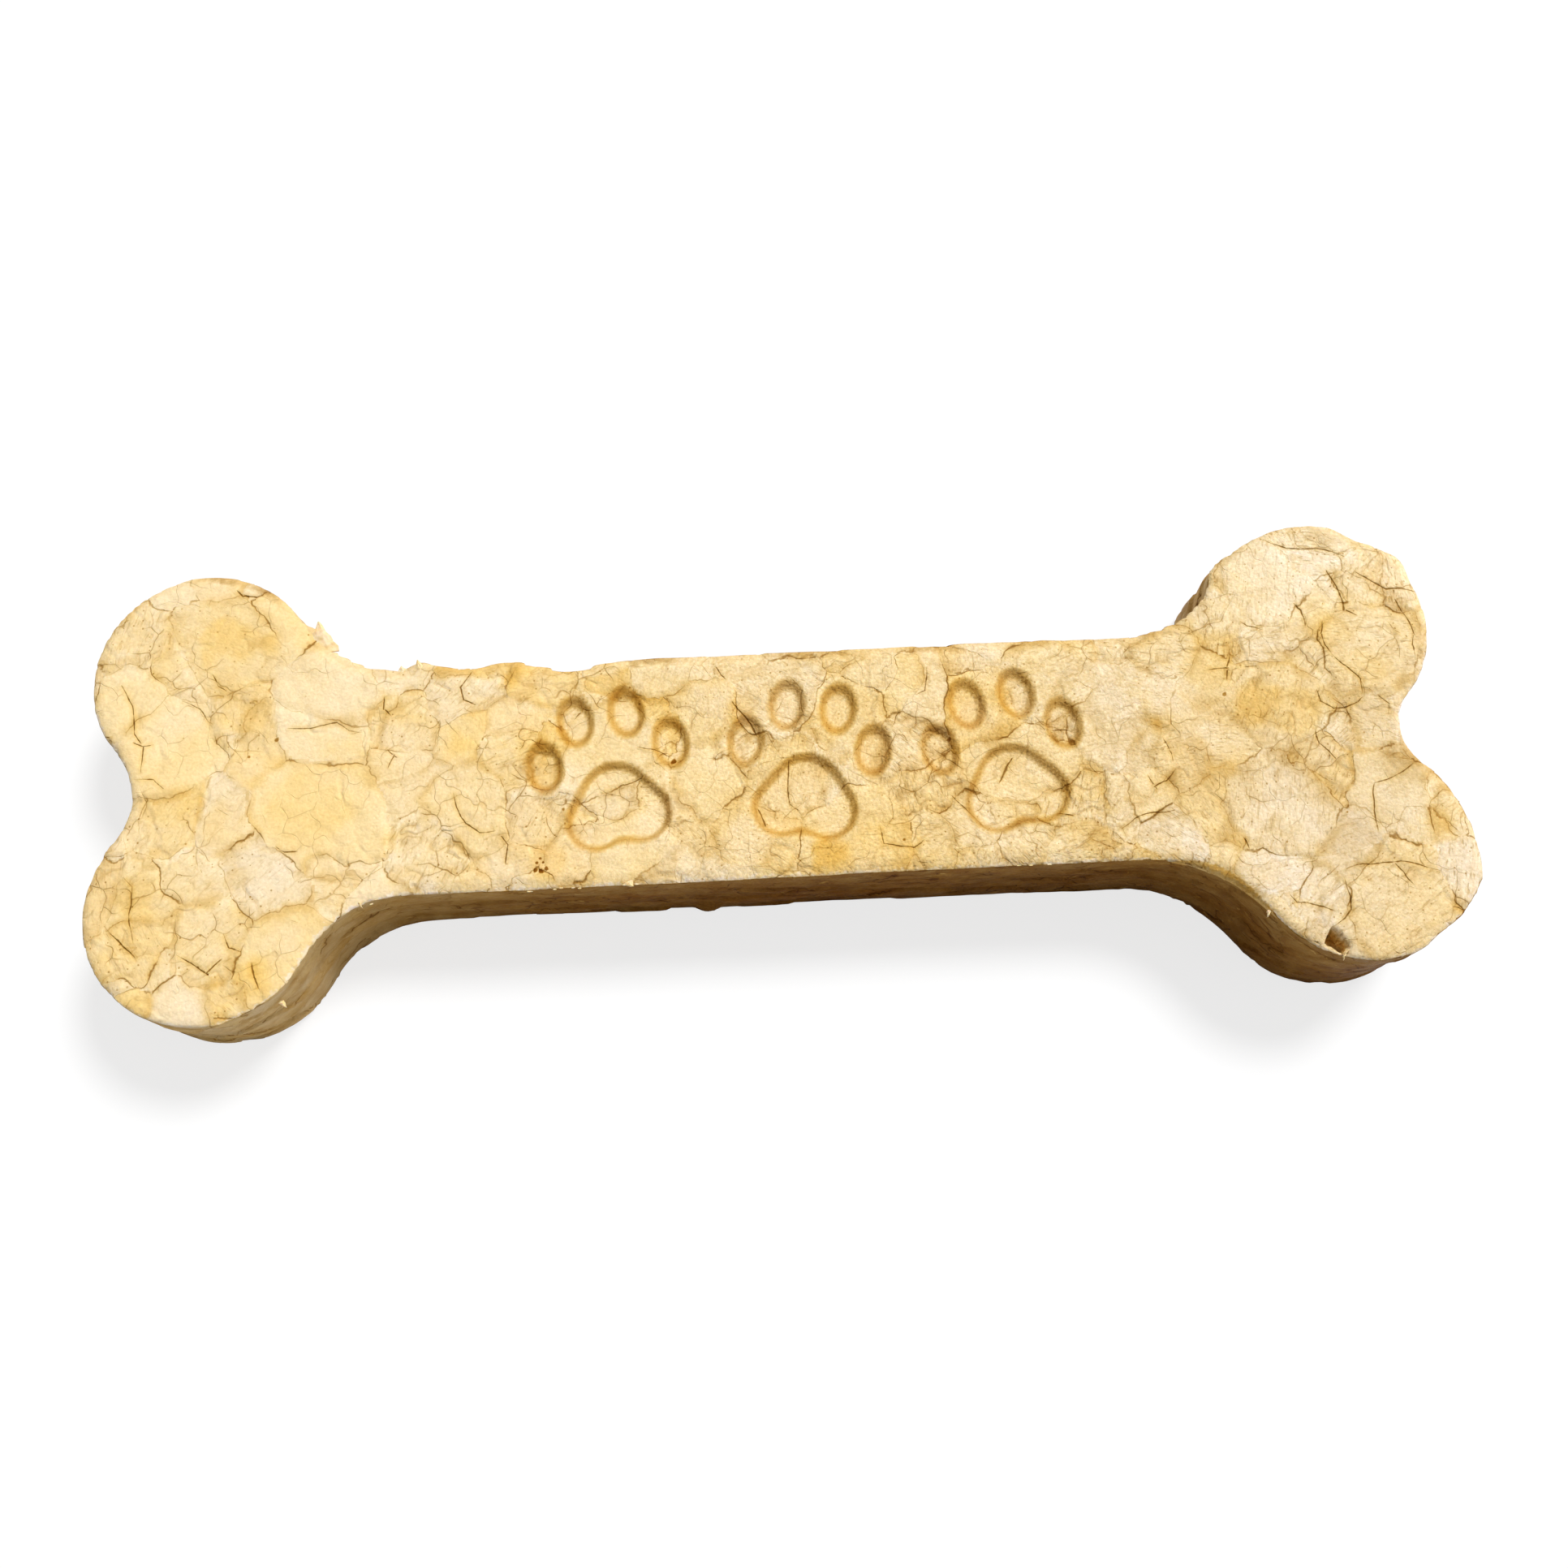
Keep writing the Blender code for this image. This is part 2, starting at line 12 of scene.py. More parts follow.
import bmesh
import bpy
import numpy as np
from bpy.props import FloatProperty, FloatVectorProperty, PointerProperty
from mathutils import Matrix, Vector


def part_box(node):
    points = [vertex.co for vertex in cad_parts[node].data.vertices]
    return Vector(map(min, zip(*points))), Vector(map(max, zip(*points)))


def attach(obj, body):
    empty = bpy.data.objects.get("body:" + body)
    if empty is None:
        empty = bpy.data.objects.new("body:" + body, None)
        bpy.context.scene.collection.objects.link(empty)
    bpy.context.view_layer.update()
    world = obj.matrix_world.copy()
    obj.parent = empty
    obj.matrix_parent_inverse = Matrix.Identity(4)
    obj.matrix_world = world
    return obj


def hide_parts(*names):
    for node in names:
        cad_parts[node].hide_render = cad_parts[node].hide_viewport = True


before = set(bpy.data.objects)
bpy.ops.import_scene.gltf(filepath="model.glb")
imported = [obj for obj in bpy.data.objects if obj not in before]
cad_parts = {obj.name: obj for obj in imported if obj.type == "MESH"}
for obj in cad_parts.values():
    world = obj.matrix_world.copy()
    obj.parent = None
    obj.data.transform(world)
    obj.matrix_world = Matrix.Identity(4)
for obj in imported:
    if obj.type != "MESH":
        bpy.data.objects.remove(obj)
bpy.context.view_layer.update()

bl_info = {
    "name": "Pressed Collagen Chew",
    "version": (1, 0, 0),
    "blender": (4, 5, 0),
    "location": "View3D > Sidebar > Chew",
    "description": "Presses a bone-shaped chew from collagen flakes and sets it on a pale stage",
    "category": "Add Mesh",
}

MM = 0.001
BODY = "root"
NODE = "chew"

# The four lobes: which end and side, centre of the lobe's circle, its radius, and the radius of the
# hollow fillet that joins it to the shaft
Lobe = namedtuple("Lobe", "end side x y radius fillet")
BACK_RIGHT = Lobe(1, 1, 82.4 * MM, 17.5 * MM, 16.7 * MM, 15.0 * MM)
BACK_LEFT = Lobe(-1, 1, 84.3 * MM, 17.3 * MM, 16.4 * MM, 18.5 * MM)
FRONT_LEFT = Lobe(-1, -1, 83.0 * MM, 17.8 * MM, 16.7 * MM, 15.8 * MM)
FRONT_RIGHT = Lobe(1, -1, 84.0 * MM, 17.0 * MM, 16.4 * MM, 21.8 * MM)
NOTCH_RADIUS_RIGHT = 7.6 * MM
NOTCH_RADIUS_LEFT = 10.7 * MM

# Places where the pressed outline swells (+) or falls short (-): x, y, reach, half of its stretch
EdgeMark = namedtuple("EdgeMark", "x y reach half_width")
EDGE_MARKS = (
    EdgeMark(-29.5 * MM, 17.0 * MM, -1.4 * MM, 8.0 * MM),
    EdgeMark(-39.5 * MM, 17.0 * MM, 0.6 * MM, 4.0 * MM),
    EdgeMark(-51.0 * MM, 17.0 * MM, 0.5 * MM, 5.0 * MM),
    EdgeMark(90.5 * MM, 32.0 * MM, -0.7 * MM, 4.0 * MM),
    EdgeMark(96.5 * MM, 27.5 * MM, 1.0 * MM, 4.5 * MM),
    EdgeMark(68.5 * MM, 27.5 * MM, 0.9 * MM, 5.0 * MM),
    EdgeMark(101.0 * MM, -21.5 * MM, 0.8 * MM, 6.0 * MM),
    EdgeMark(94.0 * MM, -30.0 * MM, -0.7 * MM, 5.0 * MM),
)

# Torn flakes and lumps that stand out of the side: x, y, height as a share of the thickness, reach,
# half length along the edge and half height
SideBurr = namedtuple("SideBurr", "x y level reach half_length half_height")
SIDE_BURRS = (
    SideBurr(-68.0 * MM, 25.0 * MM, 0.88, 2.6 * MM, 2.8 * MM, 3.2 * MM),
    SideBurr(-52.0 * MM, 17.2 * MM, 0.90, 1.5 * MM, 3.2 * MM, 3.2 * MM),
    SideBurr(-11.0 * MM, -17.0 * MM, 0.10, 1.1 * MM, 3.0 * MM, 3.0 * MM),
    SideBurr(62.5 * MM, 20.5 * MM, 0.30, 1.5 * MM, 7.0 * MM, 7.0 * MM),
    SideBurr(11.0 * MM, 17.0 * MM, 0.80, 0.7 * MM, 2.0 * MM, 2.0 * MM),
)

# Where a piece of a flake has broken out behind the front edge: its corners, going clockwise
NICK_CORNERS = ((77.9 * MM, -28.1 * MM), (80.2 * MM, -30.9 * MM), (79.5 * MM, -32.3 * MM),
                (76.6 * MM, -30.5 * MM))
NICK_DEPTH = 2.9 * MM
NICK_WALL = 0.35 * MM

# The rolled lip along the inner flank of the front right lobe: where it runs, its radius, the width of its
# yellow band and how far that goes down the side. LIP_EASE is how far it fades to each side of its middle,
# as a share of its length, and LIP_LEAST is how wide the band still is at its ends.
LIP_FROM_X = 56.0 * MM
LIP_TO_X = 71.0 * MM
LIP_EASE = 0.62
LIP_RADIUS = 1.4 * MM
LIP_WIDTH = 1.2 * MM
LIP_LEAST = 0.35
LIP_DROP = 2.2 * MM
LIP_FADE = 0.5 * MM

# The rule of the pressed flakes. FLATNESS is how much wider than thick they lie, and the random ones are
# laid in a box of the flake space.
FLAKE_SEED = 41
FLATNESS = 2.6
FLAKES_FROM = (-104.0 * MM, -37.0 * MM, -4.0 * MM * FLATNESS)
FLAKES_TO = (104.0 * MM, 37.0 * MM, 26.0 * MM * FLATNESS)
FLAKE_RADII = (3.1 * MM, 6.0 * MM)
FLAKE_LIFTS = (-1.0, 0.45)
FLAKE_CROWDING = 0.80
FLAKE_TRIES = 9000
BROAD_BEND = 1.9 * MM
BROAD_WAVE = 8.0 * MM
FINE_BEND = 0.8 * MM
FINE_WAVE = 2.8 * MM
FLAKE_TILT = 0.012

# How far a flake of the solid may lie below its neighbours, in millimetres
SOLID_STEP = 0.26

# The looks of the random flakes, each as a mean and a spread. A few are tanned: their share, and how much
# more amber they hold, from least to most.
FLAKE_AMBER = (0.04, 0.10)
FLAKE_MILK = (0.05, 0.22)
FLAKE_BUSY = (0.75, 0.35)
MOST_MILK = 0.5
BUSY_LIMITS = (0.2, 1.4)
GRAIN_ANGLE = (0.6, 0.7)
TANNED_SHARE = 0.10
TANNED_AMBER = (0.10, 0.30)

# Large flakes that lie in the upper face, in millimetres: x, y, radius, height against their
# neighbours, how much amber they hold, how milky they are, and how busy their face is
BigFlake = namedtuple("BigFlake", "x y radius lift amber milk busy")
BIG_FLAKES = (
    BigFlake(-68.0, -4.0, 8.2, 0.10, 0.08, 0.0, 0.15),
    BigFlake(-79.0, 22.5, 7.0, 0.08, 0.08, 0.0, 0.6),
    BigFlake(-88.0, 6.5, 6.4, 0.12, 0.10, 0.0, 0.2),
    BigFlake(-65.5, 15.5, 6.2, 0.14, -0.08, 0.1, 0.25),
    BigFlake(-97.0, 13.0, 4.4, 0.04, 0.0, 0.0, 0.2),
    BigFlake(-74.0, -13.5, 5.4, 0.02, -0.12, 0.35, 0.9),
    BigFlake(-71.0, -25.5, 6.4, 0.10, 0.14, 0.0, 0.3),
    BigFlake(-43.0, -3.5, 4.8, 0.06, 0.0, 0.0, 0.5),
    BigFlake(-25.0, 3.0, 6.0, 0.06, -0.05, 0.0, 0.4),
    BigFlake(11.0, -12.0, 6.6, 0.08, 0.12, 0.0, 0.6),
    BigFlake(75.0, 5.0, 6.8, 0.06, 0.08, 0.0, 0.8),
    BigFlake(74.5, -11.0, 7.0, 0.12, -0.05, 0.2, 0.8),
    BigFlake(89.5, 14.0, 7.2, 0.12, 0.12, 0.1, 0.8),
    BigFlake(88.0, -25.5, 7.6, 0.14, 0.14, 0.1, 0.8),
    BigFlake(98.5, -22.0, 4.8, 0.06, -0.08, 0.5, 1.2),
    BigFlake(75.0, 25.0, 6.2, 0.04, 0.0, 0.1, 0.7),
)

# A row of plain paw prints sunk in the shaft
PAW_STATIONS = (-24.0 * MM, 5.0 * MM, 34.0 * MM)
PAW_TURNS = (math.radians(9.0), math.radians(-7.0), math.radians(10.0))
TOE_SPREAD = 9.4 * MM
TOE_INNER_SPREAD = 3.8 * MM
TOE_HEIGHT = 2.4 * MM
TOE_INNER_HEIGHT = 8.4 * MM
TOE_RADII = (2.3 * MM, 3.4 * MM)
PAD_HEIGHT = -5.8 * MM
PAD_SPREAD = 3.3 * MM
PAD_SIDE_DROP = 1.4 * MM
PAD_SIDE_RADIUS = 4.0 * MM
PAD_TOP_RISE = 1.6 * MM
PAD_TOP_RADIUS = 4.9 * MM
PAD_BLEND = 2.2 * MM

# Cracks that stand out in the upper face, in millimetres: half width, then the points they run through
CRACKS = (
    (0.12, (-96.5, 17.0), (-94.5, 13.5), (-93.8, 9.0), (-92.4, 7.0), (-92.5, 2.5)),
    (0.14, (-94.0, 7.7), (-92.4, 7.0), (-90.8, 7.3)),
    (0.09, (-93.5, 2.0), (-90.5, 1.8), (-88.8, 0.2)),
    (0.10, (-87.5, 14.0), (-84.5, 12.5), (-83.2, 10.5), (-82.3, 9.9)),
    (0.14, (-86.0, -24.0), (-83.5, -25.5), (-81.4, -27.0), (-79.2, -25.0)),
    (0.20, (-75.0, -25.6), (-74.6, -27.8), (-73.9, -29.6)),
    (0.12, (-79.2, -21.5), (-78.4, -23.5), (-76.5, -24.2)),
    (0.12, (-95.8, -20.0), (-93.5, -22.4), (-91.2, -24.8)),
    (0.12, (-94.0, -12.5), (-92.6, -14.0), (-92.8, -18.0), (-91.8, -22.5)),
    (0.13, (-72.5, -9.0), (-71.0, -10.0), (-69.0, -10.0)),
    (0.18, (-57.2, 13.2), (-57.3, 11.2), (-56.2, 10.0)),
    (0.10, (-71.5, 8.8), (-68.0, 8.6), (-64.2, 9.3), (-62.3, 8.0), (-60.3, 7.6)),
    (0.12, (-56.8, 5.0), (-55.6, 3.8), (-56.6, 1.6)),
    (0.13, (-44.3, 16.4), (-46.0, 14.0), (-45.5, 12.0), (-43.5, 11.0)),
    (0.20, (-80.0, 31.3), (-79.0, 30.2), (-76.5, 30.0)),
    (0.18, (-40.0, -9.0), (-38.9, -10.5), (-39.3, -13.5)),
    (0.12, (-83.0, 18.0), (-82.0, 16.0), (-80.5, 15.0)),
    (0.13, (-47.0, -2.0), (-46.4, -4.5), (-45.0, -7.0), (-43.0, -8.5), (-40.5, -8.3)),
    (0.14, (-8.0, 15.3), (-7.3, 14.0), (-6.6, 13.2)),
    (0.22, (-5.9, 9.8), (-4.6, 8.0), (-3.2, 6.3), (-2.3, 4.3)),
    (0.10, (-20.0, 3.4), (-17.0, 2.8), (-15.3, 1.8)),
    (0.18, (-2.7, -6.8), (-1.7, -9.5)),
    (0.13, (2.2, 0.5), (1.8, -4.0), (2.0, -6.2), (3.4, -7.3)),
    (0.13, (23.4, 14.0), (22.8, 10.0), (21.5, 9.4)),
    (0.14, (14.7, -10.0), (15.2, -13.0), (19.5, -13.8), (21.5, -12.5)),
    (0.25, (35.0, -0.8), (33.8, -2.6), (32.8, -4.4)),
    (0.10, (25.2, -6.0), (30.5, -11.6)),
    (0.16, (40.8, -9.6), (43.0, -10.2)),
    (0.12, (41.0, 3.2), (44.8, 3.0)),
    (0.13, (50.2, -14.0), (49.8, -12.4), (51.8, -11.0), (54.5, -10.3), (58.0, -10.0)),
    (0.12, (54.3, -4.5), (55.2, -6.4), (57.0, -5.6), (58.5, -3.8)),
    (0.15, (67.0, -14.5), (67.7, -16.3)),
    (0.12, (64.9, 11.1), (66.6, 11.3), (68.2, 11.3)),
    (0.11, (68.9, 13.6), (68.0, 11.3), (67.7, 9.0)),
    (0.13, (70.9, 18.7), (71.9, 17.9), (74.2, 17.1)),
    (0.18, (75.8, 32.1), (77.4, 31.1), (79.7, 30.2), (81.5, 30.0), (84.1, 30.0), (86.3, 29.3), (88.3, 28.2)),
    (0.19, (85.0, 26.5), (85.8, 24.5), (86.4, 22.8), (86.8, 20.9), (86.7, 19.7), (88.6, 18.6)),
    (0.17, (89.3, 25.8), (90.7, 24.8), (92.4, 23.5), (93.6, 22.7), (95.8, 22.7), (98.2, 22.1)),
    (0.14, (94.7, 22.4), (94.6, 21.0), (95.3, 19.1), (96.1, 17.4), (96.6, 15.3), (96.1, 13.7), (96.2, 11.8)),
    (0.08, (92.8, 17.6), (93.7, 16.1), (94.7, 15.4)),
    (0.15, (79.3, 21.1), (80.3, 20.0), (80.6, 18.7), (80.6, 17.3)),
    (0.15, (83.3, 18.3), (82.8, 16.2), (83.1, 14.1), (84.0, 12.4)),
    (0.15, (84.0, 12.4), (85.6, 10.7), (87.5, 8.6), (87.5, 6.2)),
    (0.15, (80.8, 7.5), (81.2, 5.4), (82.9, 4.2), (84.7, 4.3), (86.7, 5.1), (87.5, 5.8)),
    (0.13, (89.7, 5.9), (91.2, 4.5), (90.7, 2.7)),
    (0.18, (79.7, 1.0), (80.0, -1.0), (82.2, -3.6)),
    (0.11, (93.5, -4.6), (91.6, -5.9), (88.9, -7.1), (87.1, -7.5)),
    (0.15, (87.1, -7.5), (86.7, -9.0), (86.5, -11.6), (86.6, -14.6)),
    (0.13, (80.9, -20.5), (81.2, -20.0), (83.6, -19.4), (86.5, -19.4), (89.0, -19.3), (91.8, -20.0),
     (94.6, -21.0)),
    (0.10, (88.0, -19.4), (89.2, -21.0), (90.5, -23.0)),
    (0.15, (80.6, -21.3), (81.1, -24.0), (80.9, -25.9), (79.9, -27.1), (78.3, -28.1)),
    (0.12, (72.4, -23.0), (73.4, -24.5), (77.1, -25.3), (78.6, -26.0)),
    (0.13, (95.2, -26.3), (97.5, -26.8)),
    (0.10, (57.2, 1.0), (58.2, -1.5), (58.3, -3.0)),
)

# Dark specks in the upper face, in millimetres: x, y, radius, how dark
STAINS = (
    (-34.9, -13.1, 0.22, 2.4),
    (-34.4, -12.5, 0.20, 2.0),
    (-35.1, -14.2, 0.32, 2.6),
    (-34.3, -14.4, 0.40, 2.8),
    (-33.5, -14.0, 0.34, 2.4),
    (-34.0, -13.1, 0.18, 2.2),
    (-14.9, 1.4, 0.45, 2.8),
    (-73.0, 7.4, 0.35, 1.6),
    (-77.0, 4.9, 0.25, 1.6),
    (-31.0, -5.3, 0.25, 1.6),
    (25.8, 2.7, 0.28, 1.8),
    (67.0, 7.5, 0.30, 1.4),
    (18.0, -12.3, 0.22, 1.6),
)

# Small specks scattered by chance, in millimetres: how many, over what half length and half width, their
# radii and how dark they are
RANDOM_SPECKS = 60
SPECK_FIELD = (100.0, 34.0)
SPECK_RADII = (0.07, 0.16)
SPECK_DEPTHS = (0.5, 1.4)

# Torn tongues of flakes on the rim, in millimetres: where they are rooted, which way they point, how long
# and how wide at the root, how far they lean over, how far the tip rises, and how far below the face
TornFlap = namedtuple("TornFlap", "x y turn length width lean rise drop")
TORN_FLAPS = (
    TornFlap(-66.9, 20.9, math.radians(97.0), 5.1, 4.6, 0.05, 0.1, 0.45),
    TornFlap(-51.9, 16.4, math.radians(95.0), 2.6, 2.2, 0.25, 0.2, 0.30),
    TornFlap(-54.8, 16.5, math.radians(100.0), 1.7, 2.6, 0.0, 0.0, 0.40),
    TornFlap(-22.0, -16.5, math.radians(-62.0), 1.0, 1.5, 0.3, 0.1, 0.15),
    TornFlap(-60.3, -17.6, math.radians(-70.0), 1.0, 0.35, 0.3, 0.2, 0.15),
    TornFlap(-70.9, -31.2, math.radians(-60.0), 1.2, 0.8, 0.4, 0.3, 0.25),
    TornFlap(79.4, -31.3, math.radians(-118.0), 1.7, 0.45, 0.0, 0.1, 0.10),
    TornFlap(69.3, -25.2, math.radians(-125.0), 1.1, 0.5, 0.3, 0.2, 0.25),
)
FLAP_ROWS = 7
FLAP_COLUMNS = 7
FLAP_THICKNESS = 0.5 * MM

# Frayed stretches of the front rim, in millimetres: x at the middle and half the length
FRAYED_STRETCHES = ((-71.0, 3.0), (-59.5, 2.0), (-33.5, 3.5), (-29.0, 2.0), (-21.5, 1.6), (36.5, 4.0))

# The shards that stand in the frayed stretches, in millimetres, from least to most: how far in from the
# edge, how far below the face, their size and their thickness
FRINGE_SEED = 17
FRINGE_COUNT = 16
SHARD_INSETS = (-0.25, 0.15)
SHARD_DROPS = (0.05, 0.30)
SHARD_SIZES = (0.08, 0.17)
SHARD_THICKNESSES = (0.06, 0.12)

# The seams: how deep the shallowest is, as a share of the seam depth, and how far they spread. Where a seam
# lies almost level with the surface, its width is worked out as if it had this least slope.
SEAM_LEAST = 0.15
SEAM_HALF_WIDTH = 0.55 * MM
LEAST_SLOPE = 0.35

# Broad waves and fine wrinkles of the faces and the side, and how much of their relief the under face loses
UNDER_PRESSED = 0.12 * MM
SIDE_WAVE = 18.0 * MM
SIDE_WAVE_REACH = 0.30 * MM
FACE_WAVE = 26.0 * MM
FACE_WAVE_HEIGHT = 0.16 * MM
WRINKLE = 0.06 * MM
WRINKLE_WAVE = 2.4 * MM
FINE_WRINKLE = 0.03 * MM
FINE_WRINKLE_WAVE = 1.1 * MM

# How far in from the edge the relief of the side fades out, and how far the even mesh of the blank is
# pulled back where it has strayed from the outline
SIDE_RELIEF = 1.5 * MM
STRAY = 0.6 * MM

# The radius of the upper rim varies by this share, over hills of this size
RIM_VARIATION = 0.5
RIM_WAVE = 5.0 * MM

# Near the upper rim the flakes stand out of the side less: by what share, and how far down
EVEN_RIM = 0.75
EVEN_RIM_HEIGHT = 6.0 * MM

# The upper rim flares out over the side: how far, how far down, up to where along the length, and over what
# length it fades from there
RIM_FLARE = 0.70 * MM
RIM_FLARE_HEIGHT = 1.3 * MM
RIM_FLARE_TO_X = 64.0 * MM
RIM_FLARE_FADE = 12.0 * MM

# Layers in the side: how far they stand out, how long their hills are, and how much thinner than long
LAYER_REACH = 0.13 * MM
LAYER_WAVE = 7.0 * MM
LAYER_STRETCH = np.array((1.0, 1.0, 2.8))

# The lattice that the noise is drawn on, and how far it is shifted off the origin, in waves
NOISE_LATTICE = 32
NOISE_SHIFT = 7.3

# The size of the smaller pieces within the flakes, in millimetres
FRAGMENT_SIZE = 4.2

# The flakes seen edge on in the side: how thick they are, in millimetres, and how much thinner than long
LAYER_THICKNESS = 2.2
LAYER_RUN = 0.42

# The right half is coarser in grain than the left, and a little browner and darker, which paints shade where
# the light falls off towards the right
COARSE_LEFT = 0.75
COARSE_RIGHT = 1.5
RIGHT_PAINTED_SHADE = 0.10
LEFT_AMBER = -0.08
RIGHT_AMBER = -0.18

# The side is greyer at the left end. Between these places along the length, in millimetres, it turns to
# what it is elsewhere.
GREY_SIDE = (-72.0, -40.0)
LEFT_SIDE_AMBER = -0.35

# How much paler the clear, smooth flakes are than the busy ones
CLEAR_FLAKE = -0.08

# The side is lighter near its upper rim than lower down
SIDE_TOP = 0.80
SIDE_BASE = 1.12

# The cracks: how crooked they are, in millimetres, how bluntly they taper, and their relief. A crack is as
# deep as CRACK_DEPTH at CRACK_FULL_WIDTH, and the seams within ACCENT_REACH of it are darker. Places that
# are farther than CRACKS_FAR from every crack have none.
CRACK_BEND = 0.32
CRACK_WAVE = 2.6 * MM
CRACK_RAGGED = 0.06
CRACK_RAGGED_WAVE = 0.8 * MM
CRACK_TAPER = 0.35
CRACK_DEPTH = 0.05 * MM
CRACK_FULL_WIDTH = 0.20
CRACK_REACH = 0.45
ACCENT_REACH = 3.2
CRACKS_FAR = 50.0

# How far the colour of the side reaches round the rim, how deep it is behind, and in front for a place
# along the length in millimetres. Its front is deeper than its back, and its left flank lighter, as painted
# shade and light: the front faces away from the key light. A nook behind is darker, a painted shadow: x, y,
# reach, how deep.
SIDE_FADE = 1.2 * MM
BACK_LIT_AMBER = 0.45
FRONT_SHADES = ((-72.0, 0.34), (-58.0, 0.55), (-35.0, 0.82), (-5.0, 1.0), (40.0, 1.0), (60.0, 0.93))
NOOK_PAINTED_SHADOW = (61.5, 19.0, 11.0, 1.1)

# Brown stretches of the upper rim, in millimetres: x, y, reach along the rim, how brown
BROWN_RIMS = (
    (-82.5, 32.5, 5.0, 1.1),
    (-76.5, 29.5, 4.5, 1.3),
    (-17.5, 17.0, 6.0, 0.9),
    (5.0, 17.0, 9.0, 0.5),
    (24.0, 17.0, 5.0, 0.6),
)

# How strong a patch can be
FAINT = 0.20
PLAIN = 0.35
STRONG = 0.50
FULL = 0.80

# Patches of the upper face, in millimetres: x, y, radius, how strong. Amber ones are yellow, milky ones
# pale, and brown ones dull.
AMBER_PATCHES = (
    (-81.5, 24.2, 3.4, PLAIN),
    (-78.5, 23.2, 3.0, PLAIN),
    (-74.8, 22.6, 1.6, STRONG),
    (-83.5, 20.5, 1.8, PLAIN),
    (-77.0, 12.5, 4.0, FAINT),
    (-62.0, 4.5, 3.6, FAINT),
    (-68.0, -4.0, 6.0, FAINT),
    (-85.0, -1.5, 2.8, FAINT),
    (-79.5, -6.0, 3.6, PLAIN),
    (-93.0, -15.5, 3.2, FAINT),
    (-75.2, -27.0, 1.8, STRONG),
    (-74.6, -29.2, 1.5, PLAIN),
    (-79.5, -31.0, 2.6, FAINT),
    (-46.3, 5.5, 1.9, PLAIN),
    (-35.0, 7.0, 4.0, PLAIN),
    (-37.5, 13.5, 2.8, PLAIN),
    (-33.8, -13.2, 3.0, STRONG),
    (-36.5, -9.0, 4.4, FAINT),
    (-4.5, 7.5, 2.2, STRONG),
    (7.5, -14.6, 2.4, FULL),
    (15.5, -13.0, 4.6, FAINT),
    (56.4, 3.2, 1.3, STRONG),
    (66.0, 12.5, 4.6, FAINT),
    (72.0, 6.0, 3.4, STRONG),
    (77.0, 4.5, 3.6, PLAIN),
    (84.0, 17.0, 2.4, FAINT),
    (88.5, 10.0, 3.0, FAINT),
    (94.0, 24.0, 2.8, FAINT),
    (95.5, -14.0, 2.2, PLAIN),
)
MILK_PATCHES = (
    (-90.0, 8.0, 3.0, FAINT),
    (-64.0, 14.5, 3.8, PLAIN),
    (-73.5, -13.0, 3.2, STRONG),
    (-84.5, -31.0, 2.6, STRONG),
    (-51.0, -12.0, 4.2, PLAIN),
    (-53.5, 6.0, 2.4, STRONG),
    (-18.0, -8.0, 3.0, PLAIN),
    (-9.0, 9.5, 3.0, STRONG),
    (-5.0, -12.0, 3.4, STRONG),
    (3.5, -4.0, 2.8, PLAIN),
    (29.0, 5.5, 3.0, PLAIN),
    (50.0, 9.0, 4.4, PLAIN),
    (59.5, 8.0, 3.4, STRONG),
    (65.5, 0.5, 3.0, STRONG),
    (73.5, -9.0, 2.8, FULL),
    (77.0, -12.5, 3.4, FULL),
    (75.0, 19.0, 5.0, STRONG),
    (80.0, 27.0, 6.0, STRONG),
    (90.0, 26.0, 4.0, PLAIN),
    (87.0, -24.5, 5.0, PLAIN),
    (98.5, -20.5, 3.6, FULL),
    (92.0, 1.0, 3.0, PLAIN),
    (91.0, 14.5, 2.8, PLAIN),
    (80.5, -2.5, 2.4, STRONG),
    (33.0, 14.0, 3.4, STRONG),
    (76.4, -31.6, 1.5, FULL),
)
BROWN_PATCHES = (
    (-94.0, -15.0, 2.4, FAINT),
    (-81.0, 15.0, 1.8, FAINT),
    (-75.0, 22.6, 1.5, FAINT),
    (-39.5, -9.5, 1.8, FAINT),
    (33.5, 0.5, 2.8, FAINT),
    (56.4, 3.2, 1.3, PLAIN),
    (62.0, -5.0, 3.0, FAINT),
    (71.5, 4.0, 2.4, FAINT),
    (77.0, -3.0, 3.6, FAINT),
    (84.0, -13.0, 4.4, FAINT),
    (81.0, -17.5, 3.0, FAINT),
    (91.5, -4.0, 3.4, PLAIN),
    (88.0, 4.5, 2.4, FAINT),
    (7.5, -14.6, 2.2, FAINT),
    (78.0, -1.5, 1.6, FAINT),
    (68.5, -6.0, 2.4, FAINT),
    (81.0, -8.0, 1.8, PLAIN),
)

# How crooked the patches are, in millimetres, and over what length their rims fade: amber ones are sharper
PATCH_BEND = 1.2
PATCH_WAVE = 4.0 * MM
PATCH_RAGGED = 0.5
PATCH_RAGGED_WAVE = 1.4 * MM
PATCH_SOFT_WAVE = 6.0 * MM
SHARP_FADE = 1.3
SOFT_FADE = 2.6

# How many points are worked on at once, and how far from them flakes are looked for
BLOCK = 6000
FLAKE_SEARCH = 24.0 * MM

# How far apart the points of an arc are, and what counts as one point
ARC_STEP = 0.9 * MM
SAME_POINT = 0.01 * MM

# The stage
FLOOR_SIZE = 6.0

# The camera, as the photograph was taken
CAMERA_PLACE = (-4.5 * MM, -62.9 * MM, 231.3 * MM)
CAMERA_TURN = (0.2778, -0.0127, -0.0494)
SENSOR_WIDTH = 36.0
CAMERA_LENS = 34.46


